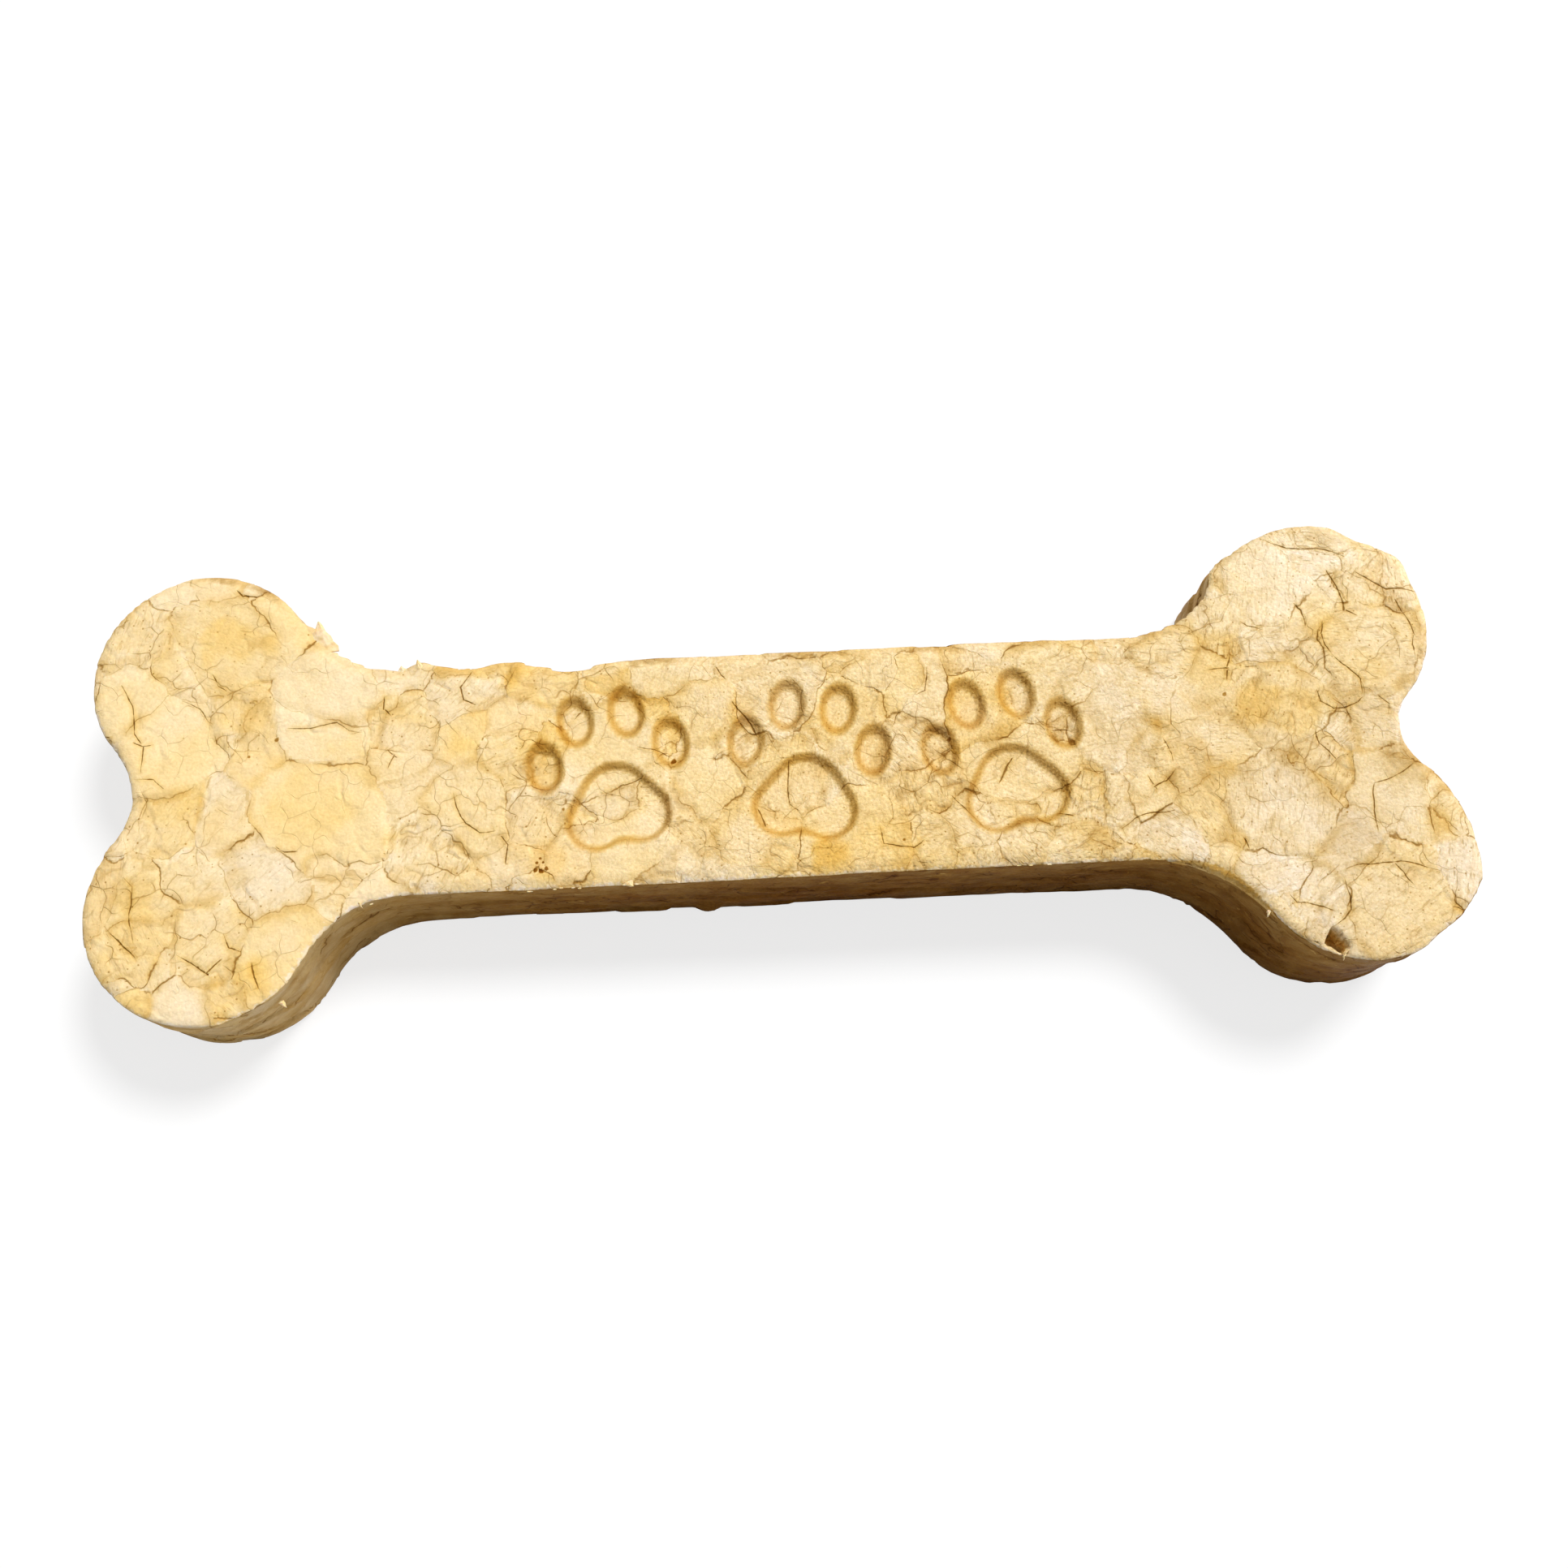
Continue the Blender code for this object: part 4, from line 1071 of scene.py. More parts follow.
def brown_rim_share(points):
    """How brown the upper rim is beyond what it is all round."""
    share = np.zeros(len(points))
    for x, y, reach, amount in BROWN_RIMS:
        distance = np.hypot(points[:, 0] / MM - x, points[:, 1] / MM - y)
        share = np.maximum(share, amount * bump(distance, reach))
    return share


def flank_shade(points, outward):
    """How deep the colour of the side is: painted shade that is less behind and at the lit left end, and more
    in one nook behind.
    """
    along, share = zip(*FRONT_SHADES)
    shade = np.clip(0.5 - 0.8 * outward[:, 1], BACK_LIT_AMBER, 1.0) * np.interp(points[:, 0] / MM, along, share)
    x, y, reach, amount = NOOK_PAINTED_SHADOW
    nook = amount * bump(np.hypot(points[:, 0] / MM - x, points[:, 1] / MM - y), reach)
    return np.maximum(shade, nook)


def extruded_outline(outline, thickness):
    """A flat curve along the outline, filled and extruded to the thickness, standing on z = 0."""
    curve = bpy.data.curves.new("outline", "CURVE")
    curve.dimensions = "2D"
    curve.fill_mode = "BOTH"
    curve.extrude = thickness / 2.0
    spline = curve.splines.new("POLY")
    spline.points.add(len(outline) - 1)
    for point, (x, y) in zip(spline.points, outline):
        point.co = (x, y, 0.0, 1.0)
    spline.use_cyclic_u = True
    holder = bpy.data.objects.new("outline", curve)
    holder.location.z = thickness / 2.0
    return holder


def mesh_from(thing):
    """The evaluated mesh of an object, in world space; the object is then removed."""
    bpy.context.scene.collection.objects.link(thing)
    bpy.context.view_layer.update()
    evaluated = thing.evaluated_get(bpy.context.evaluated_depsgraph_get())
    mesh = bpy.data.meshes.new_from_object(evaluated)
    mesh.transform(thing.matrix_world)
    bpy.data.objects.remove(thing, do_unlink=True)
    return mesh


def remeshed_blank(outline, shape):
    """The plain bone as one even mesh."""
    mesh = mesh_from(extruded_outline(outline, shape.thickness))
    work = bmesh.new()
    work.from_mesh(mesh)
    bmesh.ops.remove_doubles(work, verts=work.verts, dist=SAME_POINT)
    work.to_mesh(mesh)
    work.free()
    blank = bpy.data.objects.new("blank", mesh)
    remesh = blank.modifiers.new("even", "REMESH")
    remesh.mode = "VOXEL"
    remesh.voxel_size = shape.mesh_step
    return mesh_from(blank)


def refine(mesh, shape):
    """Halve the mesh step on the upper face and the sides, keeping the blank's normals as an attribute."""
    write_attribute(mesh, "facing", "POINT", read_normals(mesh))
    work = bmesh.new()
    work.from_mesh(mesh)
    faces = [face for face in work.faces if face.calc_center_median().z > shape.mesh_step]
    edges = list({edge for face in faces for edge in face.edges})
    bmesh.ops.subdivide_edges(work, edges=edges, cuts=1, use_grid_fill=True)
    work.to_mesh(mesh)
    work.free()
    facing = read_vectors(mesh.attributes["facing"].data, "vector", len(mesh.vertices))
    mesh.attributes.remove(mesh.attributes["facing"])
    return facing


def read_vectors(data, field, count):
    values = np.empty(count * 3, np.float32)
    data.foreach_get(field, values)
    return values.reshape(-1, 3).astype(float)


def read_points(mesh):
    return read_vectors(mesh.vertices, "co", len(mesh.vertices))


def read_normals(mesh):
    return read_vectors(mesh.vertex_normals, "vector", len(mesh.vertices))


def write_points(mesh, points):
    mesh.vertices.foreach_set("co", points.astype(np.float32).ravel())
    mesh.update()


def write_attribute(mesh, name, domain, values):
    """Keep one number or one vector for each point or face of the mesh."""
    kind, field = ("FLOAT", "value") if values.ndim == 1 else ("FLOAT_VECTOR", "vector")
    attribute = mesh.attributes.new(name, kind, domain)
    attribute.data.foreach_set(field, values.astype(np.float32).ravel())


def face_means(mesh, values):
    """The mean over each face of what its corners have."""
    corners = np.empty(len(mesh.loops), np.int32)
    mesh.loops.foreach_get("vertex_index", corners)
    starts = np.empty(len(mesh.polygons), np.int32)
    mesh.polygons.foreach_get("loop_start", starts)
    totals = np.empty(len(mesh.polygons), np.int32)
    mesh.polygons.foreach_get("loop_total", totals)
    return np.add.reduceat(values[corners], starts) / totals[:, None]


def write_looks(mesh, facts, flakes):
    """Store the pressed surface's facts, and for each face its seam, crack and speck."""
    for name, values in facts.items():
        write_attribute(mesh, name, "POINT", values)
    first, second = flakes.nearest_two(face_means(mesh, facts["flake_place"]) * MM)
    low, high = np.minimum(first, second), np.maximum(first, second)
    normal, offset = flakes.seam(low, high)
    slope = seam_slope(normal, read_vectors(mesh.polygon_normals, "vector", len(mesh.polygons)))
    seam = (offset / MM / slope, flakes.seam_openness(low, high), flakes.seam_slant(low, high))
    write_attribute(mesh, "seam_normal", "FACE", normal / slope[:, None])
    write_attribute(mesh, "seam", "FACE", np.column_stack(seam))
    write_attribute(mesh, "low_look", "FACE", flakes.looks[low])
    write_attribute(mesh, "high_look", "FACE", flakes.looks[high])
    write_attribute(mesh, "grain_run", "FACE", flakes.grain[first])
    line, _, _ = nearest_crack(face_means(mesh, facts["crack_place"])[:, :2])
    write_attribute(mesh, "crack_line", "FACE", line)
    plan = face_means(mesh, read_points(mesh))[:, :2] / MM
    specks = speck_list()
    gaps = np.hypot(plan[:, :1] - specks[:, 0], plan[:, 1:] - specks[:, 1]) - specks[:, 2]
    nearest = gaps.argmin(axis=1)
    write_attribute(mesh, "speck", "FACE", specks[nearest, :3])
    write_attribute(mesh, "speck_amber", "FACE", specks[nearest, 3])


def seam_slope(normal, facing):
    """How fast the distance from a seam grows along the surface that faces the given way."""
    growth = normal * np.array((1.0, 1.0, FLATNESS))
    across = (growth * facing).sum(axis=1)
    return np.maximum(np.linalg.norm(growth - across[:, None] * facing, axis=1), LEAST_SLOPE)


def fit_to_box(points, low, high):
    """Stretch the points by the little that makes their box the given one."""
    least, most = points.min(axis=0), points.max(axis=0)
    return low + (points - least) * (high - low) / (most - least)


def build_body(shape):
    """The pressed bone, as large as the solid that it stands for."""
    outline = pressed_outline(shape.shaft_half_width)
    flakes = Flakes(shape)
    mesh = remeshed_blank(outline, shape)
    facing = refine(mesh, shape)
    pressed, facts = press_flakes(read_points(mesh), facing, outline, flakes, shape)
    low, high = (np.array(corner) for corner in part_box(NODE))
    write_points(mesh, fit_to_box(pressed, low, high))
    write_looks(mesh, facts, flakes)
    mesh.shade_smooth()
    return bpy.data.objects.new("pressed_bone", mesh)


class Wiring:
    """Adds nodes to a material. A socket or a plain value can be fed to any input."""

    def __init__(self, material):
        material.use_nodes = True
        self.tree = material.node_tree

    def add(self, kind, feeds=(), **settings):
        node = self.tree.nodes.new(kind)
        for name, value in settings.items():
            setattr(node, name, value)
        for socket, value in feeds:
            self.feed(node.inputs[socket], value)
        return node

    def feed(self, socket, value):
        if isinstance(value, bpy.types.NodeSocket):
            self.tree.links.new(value, socket)
        else:
            socket.default_value = value

    def math(self, operation, a, b=0.0, c=0.0, clamp=False):
        feeds = tuple(enumerate((a, b, c)))
        return self.add("ShaderNodeMath", feeds, operation=operation, use_clamp=clamp).outputs[0]

    def total(self, *terms):
        """The sum of all the terms."""
        result = terms[0]
        for term in terms[1:]:
            result = self.math("ADD", result, term)
        return result

    def product(self, *factors):
        result = factors[0]
        for factor in factors[1:]:
            result = self.math("MULTIPLY", result, factor)
        return result

    def vector(self, operation, a, b=(0.0, 0.0, 0.0)):
        return self.add("ShaderNodeVectorMath", ((0, a), (1, b)), operation=operation).outputs["Vector"]

    def dot(self, a, b):
        node = self.add("ShaderNodeVectorMath", ((0, a), (1, b)), operation="DOT_PRODUCT")
        return node.outputs["Value"]

    def length(self, a):
        return self.add("ShaderNodeVectorMath", ((0, a),), operation="LENGTH").outputs["Value"]

    def parts(self, vector):
        node = self.add("ShaderNodeSeparateXYZ", ((0, vector),))
        return node.outputs[0], node.outputs[1], node.outputs[2]

    def join(self, x, y, z):
        return self.add("ShaderNodeCombineXYZ", ((0, x), (1, y), (2, z))).outputs[0]

    def spread(self, value, low, high, start=0.0, end=1.0, smooth=True):
        """Map low..high to start..end and hold it outside."""
        kind = "SMOOTHSTEP" if smooth else "LINEAR"
        feeds = ((0, value), (1, low), (2, high), (3, start), (4, end))
        return self.add("ShaderNodeMapRange", feeds, interpolation_type=kind).outputs[0]

    def hill(self, distance, width):
        """A bell curve that is 1 where the distance is 0."""
        share = self.math("DIVIDE", distance, width)
        return self.math("EXPONENT", self.math("MULTIPLY", self.product(share, share), -1.0))

    def mix(self, factor, a, b):
        """Blend two vectors."""
        node = self.add("ShaderNodeMix", ((0, factor), (4, a), (5, b)), data_type="VECTOR")
        return node.outputs[1]

    def mix_colour(self, factor, a, b):
        node = self.add("ShaderNodeMix", ((0, factor), (6, a), (7, b)), data_type="RGBA")
        return node.outputs[2]

    def noise(self, place, wave, detail=1.0, roughness=0.5):
        """Noise about 0.5 whose hills are about one wave across."""
        feeds = (("Vector", place), ("Scale", 1.0 / wave), ("Detail", detail), ("Roughness", roughness))
        return self.add("ShaderNodeTexNoise", feeds).outputs[0]

    def waver(self, place, wave, reach, detail=1.0):
        """Noise that swings about 0 by up to the reach."""
        return self.math("MULTIPLY_ADD", self.noise(place, wave, detail), 4.0 * reach, -2.0 * reach)

    def cells(self, place, size, dimensions="3D"):
        """Cells of about the given size: how far it is to their edge, and a random colour for each."""
        feeds = (("Vector", place), ("Scale", 1.0 / size))
        edge = self.add("ShaderNodeTexVoronoi", feeds, feature="DISTANCE_TO_EDGE",
                        voronoi_dimensions=dimensions)
        cell = self.add("ShaderNodeTexVoronoi", feeds, feature="F1", voronoi_dimensions=dimensions)
        return edge.outputs["Distance"], cell.outputs["Color"]

    def attribute(self, name, output="Fac"):
        return self.add("ShaderNodeAttribute", attribute_name=name).outputs[output]

    def place(self):
        """The place on the object, in millimetres."""
        coordinates = self.add("ShaderNodeTexCoord").outputs["Object"]
        node = self.add("ShaderNodeVectorMath", ((0, coordinates), ("Scale", 1.0 / MM)), operation="SCALE")
        return node.outputs["Vector"]


def seam_between_flakes(wires, place):
    """The nearest seam: signed distance across it, openness, slant and the share of the second flake."""
    offset, openness, slant = wires.parts(wires.attribute("seam", "Vector"))
    along = wires.dot(wires.attribute("flake_place", "Vector"), wires.attribute("seam_normal", "Vector"))
    ragged = wires.math("ADD", wires.waver(place, 1.2, 0.22, 2.0), wires.waver(place, 3.2, 0.50, 1.0))
    across = wires.math("ADD", wires.math("SUBTRACT", along, offset), ragged)
    fade = wires.spread(openness, 0.0, 0.4, 1.1, 0.10, smooth=False)
    share = wires.spread(across, wires.math("MULTIPLY", fade, -1.0), fade)
    return across, openness, slant, share


def seam_line(wires, place, across, openness):
    """A thin dark line along a seam, which comes and goes, between 0 and 1."""
    seen = wires.spread(wires.noise(place, 5.0, 1.0), 0.40, 0.56)
    accent = wires.product(wires.attribute("accent"), 0.35)
    strength = wires.total(wires.product(seen, wires.math("MULTIPLY_ADD", openness, 0.75, 0.25)), accent)
    return wires.product(wires.hill(across, wires.math("MULTIPLY_ADD", strength, 0.09, 0.05)), strength)


def crack_depth(wires, place):
    """How far into a listed crack a point is, and a soft halo round it."""
    x, y, width = wires.parts(wires.attribute("crack_place", "Vector"))
    line = wires.attribute("crack_line", "Vector")
    across = wires.math("ABSOLUTE", wires.dot(wires.join(x, y, -1.0), line))
    across = wires.math("ADD", across, wires.waver(place, 0.6, 0.04, 1.0))
    uneven = wires.spread(wires.noise(place, 1.6, 2.0), 0.34, 0.66, 0.35, 0.85, smooth=False)
    half = wires.product(width, uneven, 0.65)
    inside = wires.product(wires.hill(across, wires.math("ADD", half, 0.02)), wires.spread(half, 0.0, 0.06))
    halo = wires.product(wires.hill(across, 0.5), wires.spread(width, 0.0, 0.12))
    return inside, halo


def bent_place(wires, place):
    """The place, pushed about by a few millimetres, so that what is drawn there comes out crooked."""
    bend = wires.add("ShaderNodeTexNoise", (("Vector", place), ("Scale", 0.3), ("Detail", 1.0)))
    bend = wires.vector("SUBTRACT", bend.outputs["Color"], (0.5, 0.5, 0.5))
    return wires.add("ShaderNodeVectorMath", ((0, bend), (1, (4.0, 4.0, 4.0)), (2, place)),
                     operation="MULTIPLY_ADD").outputs["Vector"]


def fragments(wires, place, bent):
    """Smaller pieces within the flakes: a tint about 0 for each, and broken soft and thin lines between."""
    edge, cell = wires.cells(bent, FRAGMENT_SIZE, "2D")
    seen = wires.spread(wires.noise(place, 5.5, 1.0), 0.47, 0.60)
    line = wires.product(wires.spread(edge, 0.11 / FRAGMENT_SIZE, 0.02 / FRAGMENT_SIZE), seen)
    band = wires.product(wires.spread(edge, 0.60 / FRAGMENT_SIZE, 0.0), seen)
    tint = wires.math("SUBTRACT", wires.parts(cell)[0], 0.5)
    return tint, line, band


def fibres(wires, place):
    """Fine fibres that run in each flake's own direction, between -1 and 1, and short dark strokes."""
    x, y, z = wires.parts(place)
    cosine, sine, _ = wires.parts(wires.attribute("grain_run", "Vector"))
    along = wires.total(wires.product(x, cosine), wires.product(y, sine))
    across = wires.math("SUBTRACT", wires.product(y, cosine), wires.product(x, sine))
    stretched = wires.join(wires.product(along, 0.25), across, wires.product(z, 1.5))
    strokes = wires.join(wires.product(along, 0.30), across, z)
    stroke = wires.spread(wires.noise(strokes, 0.42, 1.0), 0.56, 0.72)
    return wires.waver(stretched, 0.62, 0.5, 2.0), stroke


def pores(wires, place):
    """Pinholes: 1 inside one."""
    feeds = (("Vector", place), ("Scale", 1.0 / 1.4), ("Randomness", 1.0))
    cells = wires.add("ShaderNodeTexVoronoi", feeds, feature="F1", voronoi_dimensions="2D")
    chance = wires.parts(cells.outputs["Color"])[0]
    radius = wires.spread(chance, 0.55, 1.0, 0.0, 0.10, smooth=False)
    return wires.spread(cells.outputs["Distance"], wires.math("ADD", radius, 0.03), radius)


def creases(wires, place, bent):
    """Folds that are pressed flat: soft valleys that come and go, a thin line in them, and broad folds, which
    the material darkens partly as painted shade.
    """
    x, y, _ = wires.parts(bent)
    along = wires.total(wires.product(x, 0.46), wires.product(y, 0.30))
    across = wires.total(wires.product(x, -0.55), wires.product(y, 0.84))
    slanted = wires.join(along, across, 0.0)
    ridge = wires.math("ABSOLUTE", wires.math("SUBTRACT", wires.noise(slanted, 3.6, 1.0), 0.5))
    seen = wires.spread(wires.noise(place, 6.5, 1.0), 0.42, 0.60)
    valley = wires.product(wires.spread(ridge, 0.09, 0.0), seen)
    line = wires.product(wires.spread(ridge, 0.014, 0.002), seen)
    broad = wires.math("ABSOLUTE", wires.math("SUBTRACT", wires.noise(bent, 13.0, 1.0), 0.5))
    return valley, line, wires.spread(broad, 0.05, 0.0)


def speck_share(wires, place):
    """1 inside the nearest dark speck, with a ragged rim."""
    x, y, radius = wires.parts(wires.attribute("speck", "Vector"))
    px, py, _ = wires.parts(place)
    offset = wires.join(wires.math("SUBTRACT", px, x), wires.math("SUBTRACT", py, y), 0.0)
    distance = wires.math("DIVIDE", wires.length(offset), radius)
    distance = wires.math("ADD", distance, wires.waver(place, 0.5, 0.30, 1.0))
    return wires.product(wires.spread(distance, 1.2, 0.6), wires.attribute("speck_amber"))


def side_layers(wires, place):
    """Flakes seen edge on in the side: soft streaks about 0, thin dark lines, and a few bright tears, partly
    painted glints.
    """
    x, y, z = wires.parts(place)
    level = wires.total(z, wires.waver(place, 9.0, 1.6), wires.waver(place, 1.6, 0.22, 2.0))
    flat = wires.join(wires.product(x, LAYER_RUN), wires.product(y, LAYER_RUN), level)
    streak = wires.waver(flat, LAYER_THICKNESS, 0.5, 3.0)
    ridge = wires.math("ABSOLUTE", wires.math("SUBTRACT", wires.noise(flat, 2.4), 0.5))
    line = wires.product(wires.spread(ridge, 0.022, 0.0), wires.spread(wires.noise(place, 6.0), 0.47, 0.60))
    tear = wires.spread(wires.noise(flat, 0.8, 2.0), 0.64, 0.70)
    return streak, line, wires.product(tear, wires.spread(wires.noise(place, 7.0), 0.52, 0.62))


def rim_looks(wires, place, cut):
    """Along the upper rim: a pale frayed line in front and a brown band behind, each from 0 to 1."""
    distance, rim_darkening, outward = wires.parts(wires.attribute("edge", "Vector"))
    ragged = wires.math("ADD", distance, wires.waver(place, 0.8, 0.40, 2.0))
    front = wires.spread(outward, 0.1, -0.4)
    back = wires.spread(outward, 0.2, 0.7)
    pale = wires.product(wires.spread(ragged, 0.55, 0.25), front, wires.spread(cut, 0.5, 0.1))
    brown = wires.math("MULTIPLY_ADD", back, 0.22, wires.product(rim_darkening, wires.spread(ragged, 2.2, 0.4)))
    return pale, wires.product(wires.spread(ragged, 1.6, 0.2), brown)


def through(wires, colour, *layers):
    """A colour seen through layers, each a loss of red, green and blue and a depth."""
    parts = wires.add("ShaderNodeSeparateColor", ((0, colour),)).outputs
    channels = []
    for index, part in enumerate(parts):
        losses = [wires.math("MULTIPLY", depth, -loss[index]) for loss, depth in layers]
        channels.append(wires.product(wires.math("EXPONENT", wires.total(*losses)), part))
    return wires.add("ShaderNodeCombineColor", tuple(enumerate(channels))).outputs[0]


def collagen_colour(wires, colours, amber, milk, *layers):
    """Clear collagen seen through its amber, clouded where it is milky, under the layers over that."""
    tinted = through(wires, (*colours.clear, 1.0), (colours.amber_loss, amber))
    milky = wires.math("MULTIPLY", milk, 0.6, clamp=True)
    clouded = wires.mix_colour(milky, tinted, (*colours.milk, 1.0))
    return through(wires, clouded, *layers)


class Marks:
    """What shows at each place on the chew, as sockets. Most are 1 where a mark is full and 0 elsewhere."""

    def __init__(self, wires):
        self.place = wires.place()
        self.east, self.north, self.above = wires.parts(self.place)
        self.find_side(wires)
        self.find_flakes(wires)
        self.find_lines(wires)
        self.find_grain(wires)
        self.find_layers(wires)

    def find_side(self, wires):
        """Where the side is and where the faces are, and the marks along the rim."""
        ragged = wires.math("ADD", wires.attribute("cut"), wires.waver(self.place, 0.9, 0.08, 2.0))
        self.lip = wires.spread(wires.attribute("lip"), 0.3, 0.7)
        self.off_lip = wires.spread(self.lip, 0.0, 1.0, 1.0, 0.0)
        self.side = wires.product(wires.spread(ragged, 0.24, 0.46), self.off_lip)
        self.face = wires.math("SUBTRACT", 1.0, self.side)
        self.nick = wires.spread(wires.attribute("nick"), 0.30, 0.60)
        # the sloping walls of the paw prints, whose amber and darkening are partly painted shade
        self.paw_wall = wires.attribute("wall")
        self.rim_pale, self.rim_brown = rim_looks(wires, self.place, self.side)

    def find_flakes(self, wires):
        """The looks of the flake, what lies along its seam, and the patches."""
        across, openness, slant, share = seam_between_flakes(wires, self.place)
        low_look = wires.attribute("low_look", "Vector")
        look = wires.mix(share, low_look, wires.attribute("high_look", "Vector"))
        self.flake_amber, self.flake_milk, self.busy = wires.parts(look)
        self.seam = seam_line(wires, self.place, across, openness)
        # one side of each seam darker, the other lighter: a translucent overlap, partly painted shade and
        # highlight of the step
        self.overlap_and_painted_shade = wires.product(wires.hill(across, 1.0), across, slant,
                                    wires.spread(self.busy, 0.15, 0.6, 0.35, 1.0))
        # a soft band along some seams: amber, and brown that is partly painted shade between flakes
        self.seam_smudge_and_shade = wires.product(wires.hill(across, 0.9),
                                    wires.spread(wires.noise(self.place, 7.0, 2.0), 0.40, 0.64))
        patches = wires.parts(wires.attribute("patches", "Vector"))
        self.amber_patch, self.milk_patch, self.brown_patch = patches
        self.calm = wires.product(wires.spread(self.north, 26.0, 8.0, 0.8, 1.0),
                                  wires.spread(self.milk_patch, 0.0, 0.6, 1.0, 0.3))
        self.creased = wires.product(self.busy, self.face, self.calm)

    def find_lines(self, wires):
        """Cracks, folds that are pressed flat, and the smaller pieces within the flakes."""
        self.crack, self.halo = crack_depth(wires, self.place)
        bent = bent_place(wires, self.place)
        self.valley, self.crease, self.fold = creases(wires, self.place, bent)
        self.tint, self.fragment_line, self.fragment_band = fragments(wires, self.place, bent)

    def find_grain(self, wires):
        """Fibres, pores and specks, and how coarse they are."""
        self.fibre, self.stroke = fibres(wires, self.place)
        self.pore = wires.product(pores(wires, self.place), wires.spread(self.busy, 0.2, 0.9))
        self.speck = speck_share(wires, self.place)
        self.coarse = wires.product(wires.spread(self.east, -75.0, 55.0, COARSE_LEFT, COARSE_RIGHT),
                                    self.busy, wires.spread(self.side, 0.0, 1.0, 1.0, 0.3))
        off_middle = wires.math("ABSOLUTE", wires.math("SUBTRACT", self.east, 20.0))
        self.grain = wires.product(wires.waver(self.place, 0.42, 0.5, 2.0),
                                   wires.spread(self.east, -80.0, 10.0, 0.80, 1.5),
                                   wires.spread(off_middle, 45.0, 30.0, 1.0, 1.3))

    def find_layers(self, wires):
        """The layers of the side, plainer at the left end, and how deep its colour is in them."""
        self.streak, self.layer_line, tear = side_layers(wires, self.place)
        self.streaked = wires.spread(self.east, -72.0, -45.0, 0.1, 1.0)
        lined = wires.spread(self.streaked, 0.1, 1.0, 0.25, 0.45)
        self.layers = wires.total(wires.product(self.streak, self.streaked, 0.12),
                                  wires.product(self.layer_line, lined),
                                  # bright tears: torn pale edges, partly painted glints
                                  wires.product(tear, -0.45),
                                  wires.waver(self.place, 2.6, 0.16, 4.0), 1.0)


def amber_depth(wires, marks):
    """How much amber the light goes through."""
    return wires.total(
        marks.flake_amber,
        wires.waver(marks.place, 7.0, 0.10, 2.0),
        wires.spread(marks.east, -95.0, 10.0, LEFT_AMBER, 0.0),
        wires.product(wires.waver(marks.place, 1.9, 0.12, 2.0), marks.busy),
        wires.product(marks.tint, marks.busy, 0.15),
        wires.product(marks.seam_smudge_and_shade, 0.20),
        # seam steps: amber, partly painted shade and highlight
        wires.product(marks.overlap_and_painted_shade, 0.16),
        wires.product(marks.side, wires.spread(marks.east, *GREY_SIDE, LEFT_SIDE_AMBER, 0.0)),
        wires.product(marks.halo, 0.25),
        wires.product(marks.speck, 0.4),
        # the paw prints' walls: amber, partly painted shade
        wires.product(marks.paw_wall, 0.65),
        wires.product(marks.lip, 0.70),
        wires.product(marks.nick, 0.5),
        wires.spread(marks.east, 0.0, 60.0, 0.0, RIGHT_AMBER),
        marks.amber_patch,
        wires.product(marks.rim_pale, -0.4),
    )


def milk_share(wires, marks):
    """How milky the collagen is, less so on the side."""
    clouds = wires.spread(wires.noise(marks.place, 9.0, 2.0), 0.52, 0.75, 0.0, 0.42)
    milk = wires.total(marks.flake_milk, clouds, marks.milk_patch, wires.product(marks.rim_pale, 0.5))
    side_milk = wires.spread(marks.east, *GREY_SIDE, 0.5, 0.15)
    return wires.product(milk, wires.spread(marks.side, 0.0, 1.0, 1.0, side_milk), marks.off_lip)


def brown_depth(wires, marks):
    """How much brown the light goes through: the dark of seams, cracks, folds and grain."""
    return wires.total(
        # painted shade: darker towards the right, where the light falls off
        wires.product(wires.spread(marks.east, -60.0, 80.0, 0.0, RIGHT_PAINTED_SHADE),
                      wires.spread(marks.north, 24.0, 8.0, -0.7, 1.0)),
        wires.spread(marks.busy, 0.15, 0.70, CLEAR_FLAKE, 0.0),
        wires.product(marks.seam, wires.spread(marks.calm, 0.3, 0.8, 0.6, 1.0), 2.0),
        wires.product(marks.fragment_line, marks.creased, 0.8),
        wires.product(marks.fragment_band, marks.creased, 0.14),
        # valleys and broad folds darkened: partly painted shade in the folds
        wires.product(marks.valley, marks.creased, wires.spread(marks.east, -80.0, 60.0, 0.17, 0.23)),
        wires.product(marks.fold, marks.calm, marks.face,
                      wires.spread(marks.east, -40.0, 60.0, 0.04, 0.20)),
        wires.product(marks.crack, 2.2),
        wires.product(marks.halo, 0.12),
        wires.product(marks.coarse, marks.fibre, 0.18),
        wires.product(marks.coarse, marks.stroke, 0.29),
        wires.product(marks.pore, marks.face, 1.0),
        wires.product(marks.grain, 0.28),
        wires.product(marks.crease, marks.creased, 0.34),
        # soft seam bands: brown, partly painted shade
        wires.product(marks.seam_smudge_and_shade, marks.calm, 0.34),
        # seam steps: brown, partly painted shade
        wires.product(marks.overlap_and_painted_shade, marks.calm, 0.30),
        wires.product(marks.milk_patch, -0.08),
        marks.speck,
        # the paw prints' walls: darker, partly painted shade
        wires.product(marks.paw_wall, 0.85),
        wires.product(marks.lip, 0.55),
        wires.product(marks.nick, 0.60),
        wires.product(wires.waver(marks.place, 3.5, 0.10, 2.0),
                      wires.spread(marks.east, -60.0, 60.0, 0.3, 1.0)),
        marks.brown_patch,
        marks.rim_brown,
    )


